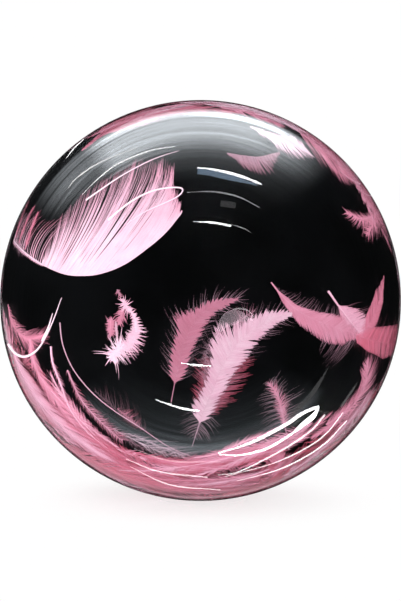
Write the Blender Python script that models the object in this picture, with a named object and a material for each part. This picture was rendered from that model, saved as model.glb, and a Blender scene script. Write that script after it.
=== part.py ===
"""Clear bubble balloon, lying on a small flat spot with its sealed neck behind it.

The balloon is one closed piece: a sphere that is flat where it rests, and a neck that flares out of its
back, narrows to a throat and is pressed flat into a welded tab.
Metres, +Z up. The origin is the middle of the flat spot, and the neck points along +Y.
"""

import math

import bmesh
import bpy
from mathutils import Matrix, Vector

# The inflated ball
BALL_DIAMETER = 0.450
REST_FLAT_RADIUS = 0.030
BALL_MERIDIANS = 80
BALL_ARC_STEPS = 40

# The neck, measured from the ball's skin along the neck's own axis
NECK_DROP = math.radians(6.5)
NECK_FLARE_RADIUS = 0.024
NECK_FLARE_LENGTH = 0.014
NECK_THROAT_RADIUS = 0.0085
NECK_ROOT_DEPTH = 0.012
NECK_LIP_DEPTH = 0.0004
TAB_WIDTH = 0.026
TAB_THICKNESS = 0.0024
TAB_PRESS_LENGTH = 0.014
TAB_LENGTH = 0.034
NECK_SIDES = 32
NECK_FLARE_STEPS = 6
NECK_PRESS_STEPS = 4

# The film's colour, roughness and opacity
FILM_COLOUR = (0.86, 0.90, 0.93, 1.0)
FILM_ROUGHNESS = 0.05
FILM_ALPHA = 0.3
FILM_IOR = 1.4

BALL_RADIUS = BALL_DIAMETER / 2
CENTRE_HEIGHT = math.sqrt(BALL_RADIUS**2 - REST_FLAT_RADIUS**2)
MERGE_DISTANCE = 0.00001


def clear_scene():
    """Removes every object that the scene opens with."""
    for thing in list(bpy.data.objects):
        bpy.data.objects.remove(thing)


def film_material():
    """The clear stretch film."""
    material = bpy.data.materials.new("clear_film")
    material.use_nodes = True
    shader = material.node_tree.nodes["Principled BSDF"]
    shader.inputs["Base Color"].default_value = FILM_COLOUR
    shader.inputs["Roughness"].default_value = FILM_ROUGHNESS
    shader.inputs["Metallic"].default_value = 0.0
    shader.inputs["Alpha"].default_value = FILM_ALPHA
    shader.inputs["IOR"].default_value = FILM_IOR
    return material


def add_object(name, mesh_builder, material=None):
    """Turns a bmesh into a named object of the scene."""
    mesh = bpy.data.meshes.new(name)
    mesh_builder.to_mesh(mesh)
    mesh_builder.free()
    thing = bpy.data.objects.new(name, mesh)
    bpy.context.scene.collection.objects.link(thing)
    if material:
        mesh.materials.append(material)
    return thing


def ball_profile():
    """The ball's outline in the XZ plane, from the middle of the flat spot up to the crown."""
    flat_angle = math.asin(REST_FLAT_RADIUS / BALL_RADIUS)
    points = [Vector((0, 0, 0))]
    for step in range(BALL_ARC_STEPS + 1):
        polar = flat_angle + (math.pi - flat_angle) * step / BALL_ARC_STEPS
        across = BALL_RADIUS * math.sin(polar) if step < BALL_ARC_STEPS else 0.0
        points.append(Vector((across, 0, CENTRE_HEIGHT - BALL_RADIUS * math.cos(polar))))
    return points


def make_ball(material):
    """The inflated ball: the profile spun about the vertical axis."""
    shape = bmesh.new()
    corners = [shape.verts.new(point) for point in ball_profile()]
    edges = [shape.edges.new(pair) for pair in zip(corners, corners[1:])]
    bmesh.ops.spin(
        shape,
        geom=corners + edges,
        cent=(0, 0, 0),
        axis=(0, 0, 1),
        angle=2 * math.pi,
        steps=BALL_MERIDIANS,
        use_merge=True,
    )
    bmesh.ops.remove_doubles(shape, verts=shape.verts, dist=MERGE_DISTANCE)
    bmesh.ops.recalc_face_normals(shape, faces=shape.faces)
    return add_object("bubble_balloon", shape, material)


def neck_section(half_width, half_thickness):
    """A round section where both halves are equal, and a bar with round ends where it is pressed flat."""
    reach = half_width - half_thickness
    points = []
    for side in range(NECK_SIDES):
        angle = 2 * math.pi * (side + 0.5) / NECK_SIDES
        end = reach if math.cos(angle) > 0 else -reach
        points.append((end + half_thickness * math.cos(angle), half_thickness * math.sin(angle)))
    return points


def neck_stations():
    """(distance from the skin, half width, half thickness) of each section, from inside the ball outwards.

    The flare's lip follows the ball: it starts just under the skin, which has curved away that far out.
    """
    stations = [(-NECK_ROOT_DEPTH, NECK_FLARE_RADIUS, NECK_FLARE_RADIUS)]
    skin_drop = BALL_RADIUS - math.sqrt(BALL_RADIUS**2 - NECK_FLARE_RADIUS**2)
    lip = -skin_drop - NECK_LIP_DEPTH
    for step in range(NECK_FLARE_STEPS + 1):
        turn = math.pi / 2 * step / NECK_FLARE_STEPS
        radius = NECK_FLARE_RADIUS - (NECK_FLARE_RADIUS - NECK_THROAT_RADIUS) * math.sin(turn)
        distance = lip + (NECK_FLARE_LENGTH - lip) * (1 - math.cos(turn))
        stations.append((distance, radius, radius))
    for step in range(1, NECK_PRESS_STEPS + 1):
        share = step / NECK_PRESS_STEPS
        ease = share * share * (3 - 2 * share)
        half_width = NECK_THROAT_RADIUS + (TAB_WIDTH / 2 - NECK_THROAT_RADIUS) * ease
        half_thickness = NECK_THROAT_RADIUS + (TAB_THICKNESS / 2 - NECK_THROAT_RADIUS) * ease
        stations.append((NECK_FLARE_LENGTH + TAB_PRESS_LENGTH * share, half_width, half_thickness))
    tab_end = NECK_FLARE_LENGTH + TAB_PRESS_LENGTH + TAB_LENGTH
    stations.append((tab_end, TAB_WIDTH / 2, TAB_THICKNESS / 2))
    return stations


def make_neck():
    """The neck as a closed shape along local +Y, turned down and set on the ball's skin."""
    shape = bmesh.new()
    rings = []
    for distance, half_width, half_thickness in neck_stations():
        section = neck_section(half_width, half_thickness)
        rings.append([shape.verts.new((x, BALL_RADIUS + distance, z)) for x, z in section])
    for inner, outer in zip(rings, rings[1:]):
        for side in range(NECK_SIDES):
            after = (side + 1) % NECK_SIDES
            shape.faces.new((inner[side], inner[after], outer[after], outer[side]))
    shape.faces.new(rings[0])
    shape.faces.new(rings[-1])
    bmesh.ops.recalc_face_normals(shape, faces=shape.faces)
    drop = Matrix.Rotation(-NECK_DROP, 4, "X")
    rise = Matrix.Translation((0, 0, CENTRE_HEIGHT))
    bmesh.ops.transform(shape, matrix=rise @ drop, verts=shape.verts)
    neck = add_object("neck_guide", shape)
    neck.hide_render = True
    neck.display_type = "WIRE"
    return neck


def join_neck(ball, neck):
    """Joins the neck to the ball as one closed piece."""
    join = ball.modifiers.new("join_neck", "BOOLEAN")
    join.operation = "UNION"
    join.object = neck


def main():
    """Builds the balloon."""
    clear_scene()
    ball = make_ball(film_material())
    join_neck(ball, make_neck())
    ball.data.shade_smooth()


main()
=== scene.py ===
"""Looks of the clear bubble balloon: a clear film with pink feathers round a black inner balloon.

The film piece stands for the CAD ball. The black inner balloon fills it nearly to the film, and the
feathers lie in the gap between the two: single plumes over the front, a deep bed of them low down and
behind, and loose ones round the rest.
Metres, +Z up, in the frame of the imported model. The camera looks along +Y, and the neck is behind.
A place on the front is (across, up) in shares of the ball's radius, as the camera sees it, and a mark
is a place in thousandths of the radius.
"""

import logging
import math
import random
from dataclasses import dataclass, replace
from enum import Enum
from typing import Callable, Iterator, Optional, Sequence, Union

import bmesh
import bpy
from mathutils import Matrix, Vector, noise

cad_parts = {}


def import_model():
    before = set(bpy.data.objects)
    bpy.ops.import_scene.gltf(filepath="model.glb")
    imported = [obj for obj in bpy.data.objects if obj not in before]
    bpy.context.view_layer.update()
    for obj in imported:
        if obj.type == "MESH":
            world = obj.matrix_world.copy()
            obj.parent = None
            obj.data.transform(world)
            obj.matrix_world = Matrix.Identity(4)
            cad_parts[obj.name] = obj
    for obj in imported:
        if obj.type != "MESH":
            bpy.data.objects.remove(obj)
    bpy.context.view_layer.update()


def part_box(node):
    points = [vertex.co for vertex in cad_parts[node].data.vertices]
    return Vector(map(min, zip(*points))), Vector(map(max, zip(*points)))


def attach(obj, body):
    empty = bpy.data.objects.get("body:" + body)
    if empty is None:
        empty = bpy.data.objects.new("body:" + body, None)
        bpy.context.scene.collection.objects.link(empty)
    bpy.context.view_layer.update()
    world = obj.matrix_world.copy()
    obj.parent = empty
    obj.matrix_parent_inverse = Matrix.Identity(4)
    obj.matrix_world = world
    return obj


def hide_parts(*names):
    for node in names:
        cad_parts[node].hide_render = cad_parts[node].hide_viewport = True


log = logging.getLogger("bubble_balloon")

BALLOON_NODE = "bubble_balloon"
BODY = "root"
MM = 0.001
# The play between the film's inside and the feathers
FEATHER_PLAY = 0.0003

Place = tuple[float, float]
Mark = tuple[int, int]
Colour = tuple[float, float, float]
Table = Sequence[tuple[float, float]]
Socket = bpy.types.NodeSocket
Feed = Union[Socket, float, int, str, bool, Vector, tuple]
Inputs = dict[Union[str, int], Feed]


class Slot(Enum):
    """The record's material slots."""

    FILM = "clear_film"
    LATEX = "black_latex"
    FEATHER = "pink_feather"


@dataclass(frozen=True)
class Ball:
    """The inflated ball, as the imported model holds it.

    Args:
        radius: The film's outer radius.
        centre: The middle of the ball.
    """

    radius: float
    centre: Vector

    @classmethod
    def from_frame(cls) -> "Ball":
        """Reads the ball's size from the CAD node's box.

        Returns:
            The ball.
        """
        low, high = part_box(BALLOON_NODE)
        radius = (high[0] - low[0]) / 2
        return cls(radius, Vector((0.0, 0.0, high[2] - radius)))

    def at(self, direction: Vector, depth: float) -> Vector:
        """Gives the point in a direction from the centre, at a depth under the film's outer skin."""
        return self.centre + direction.normalized() * (self.radius - depth)


@dataclass(frozen=True)
class Viewpoint:
    """The camera in front of the ball, which fills the width of the picture.

    Args:
        ball: The ball it looks at.
        distance: From the lens to the ball's centre.
        elevation: How far the camera looks down, in radians.
        sensor: The sensor's longer side, in millimetres.
        picture: The picture's width and height in pixels.
        ball_pixels: The radius of the ball's outline in the picture.
    """

    ball: Ball
    distance: float = 2.5
    elevation: float = math.radians(5.0)
    sensor: float = 36.0
    picture: tuple[int, int] = (401, 601)
    ball_pixels: float = 200.5

    ACROSS = Vector((1.0, 0.0, 0.0))

    @property
    def back(self) -> Vector:
        """The direction from the ball to the camera."""
        return Vector((0.0, -math.cos(self.elevation), math.sin(self.elevation)))

    @property
    def up(self) -> Vector:
        """The picture's upward direction."""
        return Vector((0.0, math.sin(self.elevation), math.cos(self.elevation)))

    @property
    def place(self) -> Vector:
        """Where the camera stands."""
        return self.ball.centre + self.back * self.distance

    @property
    def outline_slope(self) -> float:
        """The tangent of the angle between the ball's middle and its outline."""
        return self.ball.radius / math.sqrt(self.distance**2 - self.ball.radius**2)

    def add_camera(self) -> None:
        """Adds the camera and makes it the scene's own."""
        camera = bpy.data.cameras.new("camera")
        camera.sensor_width = self.sensor
        camera.lens = self.sensor * self.ball_pixels / (self.outline_slope * max(self.picture))
        holder = bpy.data.objects.new("camera", camera)
        turn = Matrix((self.ACROSS, self.up, self.back)).transposed()
        holder.matrix_world = Matrix.Translation(self.place) @ turn.to_4x4()
        bpy.context.scene.collection.objects.link(holder)
        bpy.context.scene.camera = holder

    def direction_to(self, place: Place, radius: float) -> Vector:
        """Finds the spot of a sphere inside the ball that shows at a place of the picture.

        Args:
            place: The place.
            radius: The sphere's radius.

        Returns:
            The unit direction from the ball's centre to the spot. A place past the sphere's outline
            gives the nearest spot on it.
        """
        ray = self.ACROSS * place[0] + self.up * place[1]
        ray = (ray * self.outline_slope - self.back).normalized()
        start = self.back * self.distance
        nearest = -start.dot(ray)
        miss = (start + ray * nearest).length
        if miss >= radius:
            return (start + ray * nearest).normalized()
        hit = start + ray * (nearest - math.sqrt(radius**2 - miss**2))
        return hit.normalized()

    def mirrored(self, place: Place) -> tuple[Vector, Vector]:
        """Works out what the film mirrors at a place of the picture.

        Args:
            place: The place.

        Returns:
            The film's spot, and the unit direction in which the view goes on after it.
        """
        normal = self.direction_to(place, self.ball.radius)
        spot = self.ball.centre + normal * self.ball.radius
        sight = (self.place - spot).normalized()
        return spot, normal * (2 * normal.dot(sight)) - sight


class NodeGraph:
    """Short forms for building a geometry or a shader tree."""

    def __init__(self, tree: bpy.types.NodeTree) -> None:
        """Keeps the tree that the nodes go into."""
        self.tree = tree

    def feed(self, socket: Socket, value: Feed) -> None:
        """Links an output to a socket, or sets the socket to a plain value.

        Args:
            socket: The input socket.
            value: An output socket, or a plain value.
        """
        if isinstance(value, Socket):
            self.tree.links.new(value, socket)
        else:
            socket.default_value = value

    def fill(self, node: bpy.types.Node, inputs: Inputs) -> None:
        """Feeds several of a node's inputs, by name or number."""
        for name, value in inputs.items():
            self.feed(node.inputs[name], value)

    def node(self, kind: str, inputs: Optional[Inputs] = None, **settings: object) -> bpy.types.Node:
        """Adds a node.

        Args:
            kind: The node's type name.
            inputs: What its inputs get, by name or number.
            settings: Its properties.

        Returns:
            The node.
        """
        made = self.tree.nodes.new(kind)
        for name, value in settings.items():
            setattr(made, name, value)
        self.fill(made, inputs or {})
        return made

    def out(self, kind: str, inputs: Optional[Inputs] = None, **settings: object) -> Socket:
        """Adds a node as node() does, and gives its first output."""
        return self.node(kind, inputs, **settings).outputs[0]

    def math(self, operation: str, *terms: Feed) -> Socket:
        """Adds a Math node.

        Args:
            operation: The node's operation.
            terms: Its inputs, in order.

        Returns:
            The result.
        """
        return self.out("ShaderNodeMath", dict(enumerate(terms)), operation=operation)

    def product(self, *terms: Feed) -> Socket:
        """Multiplies numbers, from the first to the last.

        Args:
            terms: The numbers.

        Returns:
            Their product.
        """
        total = terms[0]
        for term in terms[1:]:
            total = self.math("MULTIPLY", total, term)
        return total

    def vector(self, operation: str, *terms: Feed) -> Socket:
        """Adds a Vector Math node that gives a vector.

        Args:
            operation: The node's operation.
            terms: Its inputs, in order; the last one of SCALE is a number.

        Returns:
            The result.
        """
        places = (0, 3) if operation == "SCALE" else range(len(terms))
        return self.out("ShaderNodeVectorMath", dict(zip(places, terms)), operation=operation)

    def parts(self, vector: Socket) -> bpy.types.NodeOutputs:
        """Splits a vector into its X, Y and Z."""
        return self.node("ShaderNodeSeparateXYZ", {0: vector}).outputs

    def object_place(self) -> Socket:
        """Gives the Object coordinates of a shader tree."""
        return self.node("ShaderNodeTexCoord").outputs["Object"]

    def mottle(self, place: Socket, scale: float, detail: float) -> Socket:
        """Gives a noise texture's value at a place, at a scale and with a detail."""
        inputs = {"Vector": place, "Scale": scale, "Detail": detail}
        return self.node("ShaderNodeTexNoise", inputs).outputs["Fac"]

    def mark(self, name: str) -> Socket:
        """Gives a mesh attribute's value in a shader tree."""
        return self.node("ShaderNodeAttribute", attribute_name=name).outputs["Fac"]

    def ramp(self, stops: Sequence[tuple[float, Colour]], spot: Socket) -> Socket:
        """Reads a colour from a Color Ramp node.

        Args:
            stops: Places from 0 to 1, with their colours.
            spot: The place to read.

        Returns:
            The colour.
        """
        ramp = self.node("ShaderNodeValToRGB", {"Fac": spot})
        marks = ramp.color_ramp.elements
        while len(marks) < len(stops):
            marks.new(1.0)
        for mark, (place, colour) in zip(marks, stops):
            mark.position = place
            mark.color = (*colour, 1.0)
        return ramp.outputs["Color"]

    def interface(self, output: tuple[str, str], *inputs: tuple[str, str, Optional[Feed]]) -> None:
        """Names the tree's output and its inputs.

        Args:
            output: The output's kind and name.
            inputs: Each input's kind, name and value where nothing is given.
        """
        named = self.tree.interface.new_socket
        named(output[1], in_out="OUTPUT", socket_type="NodeSocket" + output[0])
        for kind, name, default in inputs:
            socket = named(name, in_out="INPUT", socket_type="NodeSocket" + kind)
            if default is not None:
                socket.default_value = default


class FieldGraph(NodeGraph):
    """Short forms for the attributes of a geometry tree."""

    def read(self, name: str, kind: str = "FLOAT") -> Socket:
        """Gives a named attribute's value."""
        return self.out("GeometryNodeInputNamedAttribute", {0: name}, data_type=kind)

    def store(self, geometry: Socket, name: str, value: Feed, kind: str = "FLOAT") -> Socket:
        """Stores a value on every point.

        Args:
            geometry: The geometry to store it on.
            name: The attribute's name.
            value: The value or field.
            kind: Its data type.

        Returns:
            The geometry with the attribute.
        """
        inputs = {"Geometry": geometry, "Name": name, "Value": value}
        return self.out("GeometryNodeStoreNamedAttribute", inputs, data_type=kind, domain="POINT")

    def chance(self, seed: Feed, low: float, high: float) -> Socket:
        """Gives each element a random number from the least to the most that it can be."""
        inputs = {2: low, 3: high, "Seed": seed}
        return self.node("FunctionNodeRandomValue", inputs, data_type="FLOAT").outputs[1]


class BarbTree:
    """The geometry tree that grows barbs along feather shafts.

    It reads a mesh of open lines, one for each shaft, whose points carry the vane's shape as
    attributes, and returns ribbons for the barbs and a thin tapered tube for each shaft. Every
    barb is bent round the ball, so that the feather lies against the film.
    """

    NAME = "feather_barbs"
    INPUTS = (
        ("Geometry", "Shafts", None),
        ("Float", "Barb gap", 0.001),
        ("Float", "Barb width", 0.001),
        ("Int", "Barb points", 6),
        ("Float", "Tuft length", 0.008),
        ("Float", "Tuft pull", 0.5),
        ("Vector", "Ball centre", None),
        ("Float", "Room radius", 0.2),
        ("Float", "Room floor", 0.0),
        ("Int", "Seed", 1),
        ("Material", "Finish", None),
    )
    CHANCES = ("chance_turn", "chance_length", "chance_tone", "chance_roll")
    SHAFT_SIDES = 5
    # How far the barbs of a fluffy feather stray: their first turn, their later bend, their length
    STRAY_TURN, STRAY_BEND, STRAY_LENGTH = 0.6, 0.5, 0.35
    # How the tufts' lengths vary along the shaft
    DRIFT_RATE, DRIFT_SIZE, DRIFT_START = 211.0, 0.35, 0.5
    # How much narrower a barb is at its tip, and how far it may roll about its own line
    TAPER, ROLL = 0.9, 0.45

    def __init__(self) -> None:
        """Builds the tree."""
        self.tree = bpy.data.node_groups.new(self.NAME, "GeometryNodeTree")
        self.graph = graph = FieldGraph(self.tree)
        graph.interface(("Geometry", "Feathers"), *self.INPUTS)
        self.given = given = graph.node("NodeGroupInput").outputs
        lines = graph.out("GeometryNodeMeshToCurve", {"Mesh": given["Shafts"]})
        walk = graph.node("GeometryNodeSplineParameter").outputs["Length"]
        shafts = graph.store(lines, "walk", walk)
        joined = graph.node("GeometryNodeJoinGeometry")
        graph.feed(joined.inputs[0], self._bent(self._scattered(shafts)))
        graph.feed(joined.inputs[0], self._tubes(shafts))
        smooth = graph.out("GeometryNodeSetShadeSmooth", {"Geometry": joined.outputs[0]})
        real = graph.out("GeometryNodeRealizeInstances", {"Geometry": smooth})
        dressed = graph.out("GeometryNodeSetMaterial", {"Geometry": real, "Material": given["Finish"]})
        graph.node("NodeGroupOutput", {0: dressed})

    def _scattered(self, shafts: Socket) -> Socket:
        """Sets a flat ribbon on both sides of each shaft, once for every barb gap.

        Args:
            shafts: The shafts as curves.

        Returns:
            The ribbons as one mesh, with each barb's root, heading, side and chances stored.
        """
        graph, given = self.graph, self.given
        inputs = {"Curve": shafts, "Length": given["Barb gap"]}
        spots = graph.node("GeometryNodeCurveToPoints", inputs, mode="LENGTH").outputs
        rooted = graph.store(spots["Points"], "heading", spots["Tangent"], "FLOAT_VECTOR")
        place = graph.out("GeometryNodeInputPosition")
        rooted = graph.store(rooted, "root_spot", place, "FLOAT_VECTOR")
        pairs = graph.node("GeometryNodeDuplicateElements", {"Geometry": rooted, "Amount": 2}, domain="POINT")
        side = graph.math("MULTIPLY_ADD", pairs.outputs["Duplicate Index"], 2.0, -1.0)
        barbs = graph.store(pairs.outputs[0], "side", side)
        for offset, name in enumerate(self.CHANCES):
            seed = graph.math("ADD", given["Seed"], float(offset))
            barbs = graph.store(barbs, name, graph.chance(seed, -1.0, 1.0))
        inputs = {"Size X": 1.0, "Size Y": 2.0, "Vertices X": given["Barb points"], "Vertices Y": 2}
        flat = graph.parts(place)
        strip = graph.out("GeometryNodeMeshGrid", inputs)
        strip = graph.store(strip, "barb_along", graph.math("ADD", flat["X"], 0.5))
        strip = graph.store(strip, "barb_across", flat["Y"])
        placed = graph.out("GeometryNodeInstanceOnPoints", {"Points": barbs, "Instance": strip})
        return graph.out("GeometryNodeRealizeInstances", {"Geometry": placed})

    def _bent(self, ribbons: Socket) -> Socket:
        """Lays every ribbon along its barb's own curve, round the ball.

        Args:
            ribbons: The flat ribbons with their stored values.

        Returns:
            The barbs as one mesh.
        """
        graph, given = self.graph, self.given
        calc, product, vector, read = graph.math, graph.product, graph.vector, graph.read
        centre = given["Ball centre"]
        along = read("barb_along")
        squared = product(along, along)
        root, heading = read("root_spot", "FLOAT_VECTOR"), read("heading", "FLOAT_VECTOR")
        outward = vector("NORMALIZE", vector("SUBTRACT", root, centre))
        sideways = vector("NORMALIZE", vector("CROSS_PRODUCT", outward, heading))
        sideways = vector("SCALE", sideways, read("side"))

        fluff = read("fluff")
        stray = product(read("chance_turn"), fluff)
        angle = calc("MULTIPLY_ADD", stray, self.STRAY_TURN, read("sweep"))
        forward = vector("SCALE", heading, calc("COSINE", angle))
        start = vector("ADD", forward, vector("SCALE", sideways, calc("SINE", angle)))

        left = calc("GREATER_THAN", read("side"), 0.0)
        reach_gap = calc("SUBTRACT", read("reach_left"), read("reach_right"))
        reach = calc("MULTIPLY_ADD", left, reach_gap, read("reach_right"))
        uneven = product(read("chance_length"), fluff)
        reach = product(reach, calc("MULTIPLY_ADD", uneven, self.STRAY_LENGTH, 1.0))

        bowed = product(read("curl"), squared)
        turned = calc("MULTIPLY_ADD", product(stray, squared), self.STRAY_BEND, bowed)
        walk, tuft = read("walk"), given["Tuft length"]
        drift = calc("SINE", product(walk, self.DRIFT_RATE))
        drift = calc("MULTIPLY_ADD", drift, self.DRIFT_SIZE, self.DRIFT_START)
        share = calc("FRACT", calc("ADD", calc("DIVIDE", walk, tuft), drift))
        pull = product(calc("SUBTRACT", 0.5, share), tuft, given["Tuft pull"], squared)
        ahead = calc("ADD", product(turned, reach), pull)
        spot = vector("ADD", root, vector("SCALE", start, product(reach, along)))
        spot = vector("ADD", spot, vector("SCALE", heading, ahead))

        bend = product(read("curl"), along, 2.0)
        run = vector("NORMALIZE", vector("ADD", start, vector("SCALE", heading, bend)))
        half = product(given["Barb width"], 0.5, calc("SUBTRACT", 1.0, product(along, self.TAPER)))
        spread = product(read("barb_across"), half)
        spot = vector("ADD", spot, vector("SCALE", vector("CROSS_PRODUCT", outward, run), spread))

        from_centre = vector("NORMALIZE", vector("SUBTRACT", spot, centre))
        roll = product(read("chance_roll"), spread, self.ROLL)
        sink = product(read("sag"), squared, calc("MULTIPLY_ADD", read("chance_length"), 0.5, 0.5))
        depth = calc("ADD", read("depth"), calc("ADD", sink, roll))
        radius = calc("SUBTRACT", given["Room radius"], calc("MAXIMUM", depth, 0.0))
        bent = graph.parts(vector("ADD", vector("SCALE", from_centre, radius), centre))
        height = calc("MAXIMUM", bent["Z"], given["Room floor"])
        lifted = graph.out("ShaderNodeCombineXYZ", {"X": bent["X"], "Y": bent["Y"], "Z": height})
        return graph.out("GeometryNodeSetPosition", {"Geometry": ribbons, "Position": lifted})

    def _tubes(self, shafts: Socket) -> Socket:
        """Makes each shaft a tube as thick as its points say.

        Args:
            shafts: The shafts as curves.

        Returns:
            The tubes as one mesh.
        """
        graph = self.graph
        ring = graph.out("GeometryNodeCurvePrimitiveCircle", {"Resolution": self.SHAFT_SIDES, "Radius": 1.0})
        inputs = {"Curve": shafts, "Profile Curve": ring, "Scale": graph.read("shaft"), "Fill Caps": True}
        return graph.store(graph.out("GeometryNodeCurveToMesh", inputs), "quill", 1.0)


@dataclass(frozen=True)
class Station:
    """The vane's shape at one place along a shaft.

    Args:
        along: The place, as a share of the shaft from its root.
        left: How long the barbs on the left are, as seen from outside.
        right: How long the barbs on the right are.
        sweep: The barbs' angle from the shaft, in degrees.
    """

    along: float
    left: float
    right: float
    sweep: float


def vane(*rows: tuple[float, float, float, float]) -> tuple[Station, ...]:
    """Makes stations of rows that give the barbs' lengths in millimetres."""
    return tuple(Station(along, left * MM, right * MM, sweep) for along, left, right, sweep in rows)


def plain_vane(reach: float, sweep: float = 50.0, bare: float = 0.12) -> tuple[Station, ...]:
    """Gives the stations of an ordinary feather with a bare root and a rounded tip.

    Args:
        reach: The longest barb on either side.
        sweep: The barbs' angle from the shaft half-way along, in degrees.
        bare: The share of the shaft that has no barbs.

    Returns:
        The stations.
    """
    return (
        Station(0.0, 0.0, 0.0, sweep + 40),
        Station(bare, 0.25 * reach, 0.25 * reach, sweep + 35),
        Station(bare + 0.13, 0.8 * reach, 0.85 * reach, sweep + 20),
        Station(0.5, reach, reach, sweep),
        Station(0.8, 0.85 * reach, 0.8 * reach, sweep - 12),
        Station(1.0, 0.45 * reach, 0.4 * reach, sweep - 28),
    )


def burst(reach: float) -> tuple[Station, ...]:
    """Gives the stations of a tuft whose barbs, all about as long, stand out all round."""
    middle = Station(0.5, 0.9 * reach, 0.9 * reach, 90)
    return Station(0.0, reach, reach, 150), middle, Station(1.0, reach, reach, 24)


@dataclass(frozen=True)
class Feather:
    """One feather: the way its shaft runs round the ball, and its barbs.

    Args:
        path: Unit directions from the ball's centre along the shaft, from root to tip.
        stations: The vane's shape along the shaft.
        tint: From 0, deep rose, to 1, palest pink.
        fluff: How much the barbs stray, from 0 to nearly 2.
        curl: How far a barb's tip bends towards the feather's tip, as a share of its length.
        fade: How much deeper the colour gets towards the barbs' tips.
        dye_and_painted_shade: How much darker the colour is made, up to 1: part darker dye, part painted
            shade where a feather lies further back; below 0 it is made brighter, painted light near the
            outline.
        shaft: The shaft's radius at its root.
        depth: How deep the feather lies under the inside of the film.
        sag: How much deeper the barbs' tips may hang.
    """

    path: tuple[Vector, ...]
    stations: tuple[Station, ...]
    tint: float = 0.7
    fluff: float = 0.4
    curl: float = 0.15
    fade: float = 0.15
    # Darker dye and painted shade; below 0 it is painted light.
    dye_and_painted_shade: float = 0.0
    shaft: float = 0.0005
    depth: float = 0.0003
    sag: float = 0.0

    # Hairs: the least width of a vane that has them, how much more they are swept, how far before the
    # vane they start, and how much deeper they lie
    HAIRY, HAIR_SWEEP, HAIR_START, HAIR_DEPTH = 0.004, 6, 0.01, 0.0005

    def hairs(self, longer: float, tint: float) -> "Feather":
        """Gives the loose hairs that stand out beyond this feather's barbs.

        Args:
            longer: How much longer than the barbs they are.
            tint: Their tint.

        Returns:
            A feather on the same path that has only the hairs.
        """
        stations = tuple(
            Station(place.along, place.left + longer, place.right + longer, place.sweep + self.HAIR_SWEEP)
            for place in self.stations
            if place.left + place.right > self.HAIRY
        )
        first = stations[0]
        if first.along > 2 * self.HAIR_START:
            bare = Station(0.0, 0.0, 0.0, first.sweep)
            stations = (bare, replace(bare, along=first.along - self.HAIR_START), *stations)
        # The hairs are made half as bright: darker down, and painted shade where they lie under the barbs.
        return replace(
            self, stations=stations, tint=tint, dye_and_painted_shade=0.5, fluff=1.0, curl=0.2, fade=0.1, shaft=0.0001,
            depth=self.depth + self.HAIR_DEPTH,
        )

    def walk(self, step: float) -> list[Vector]:
        """Runs a smooth curve through the path's directions.

        Args:
            step: The turn between two points, in radians.

        Returns:
            Unit directions along the shaft.
        """
        curve = smooth_curve(self.path, lambda start, end: max(2, round((end - start).length / step)))
        return [spot.normalized() for spot in curve]

    def vane_at(self, share: float) -> Station:
        """Blends the two stations on either side of a place.

        Args:
            share: The place along the shaft.

        Returns:
            The vane's shape there.
        """
        for first, second in zip(self.stations, self.stations[1:]):
            if share <= second.along:
                part = (share - first.along) / (second.along - first.along)
                part = part * part * (3 - 2 * part)
                return Station(
                    share,
                    first.left + (second.left - first.left) * part,
                    first.right + (second.right - first.right) * part,
                    first.sweep + (second.sweep - first.sweep) * part,
                )
        return self.stations[-1]


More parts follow.
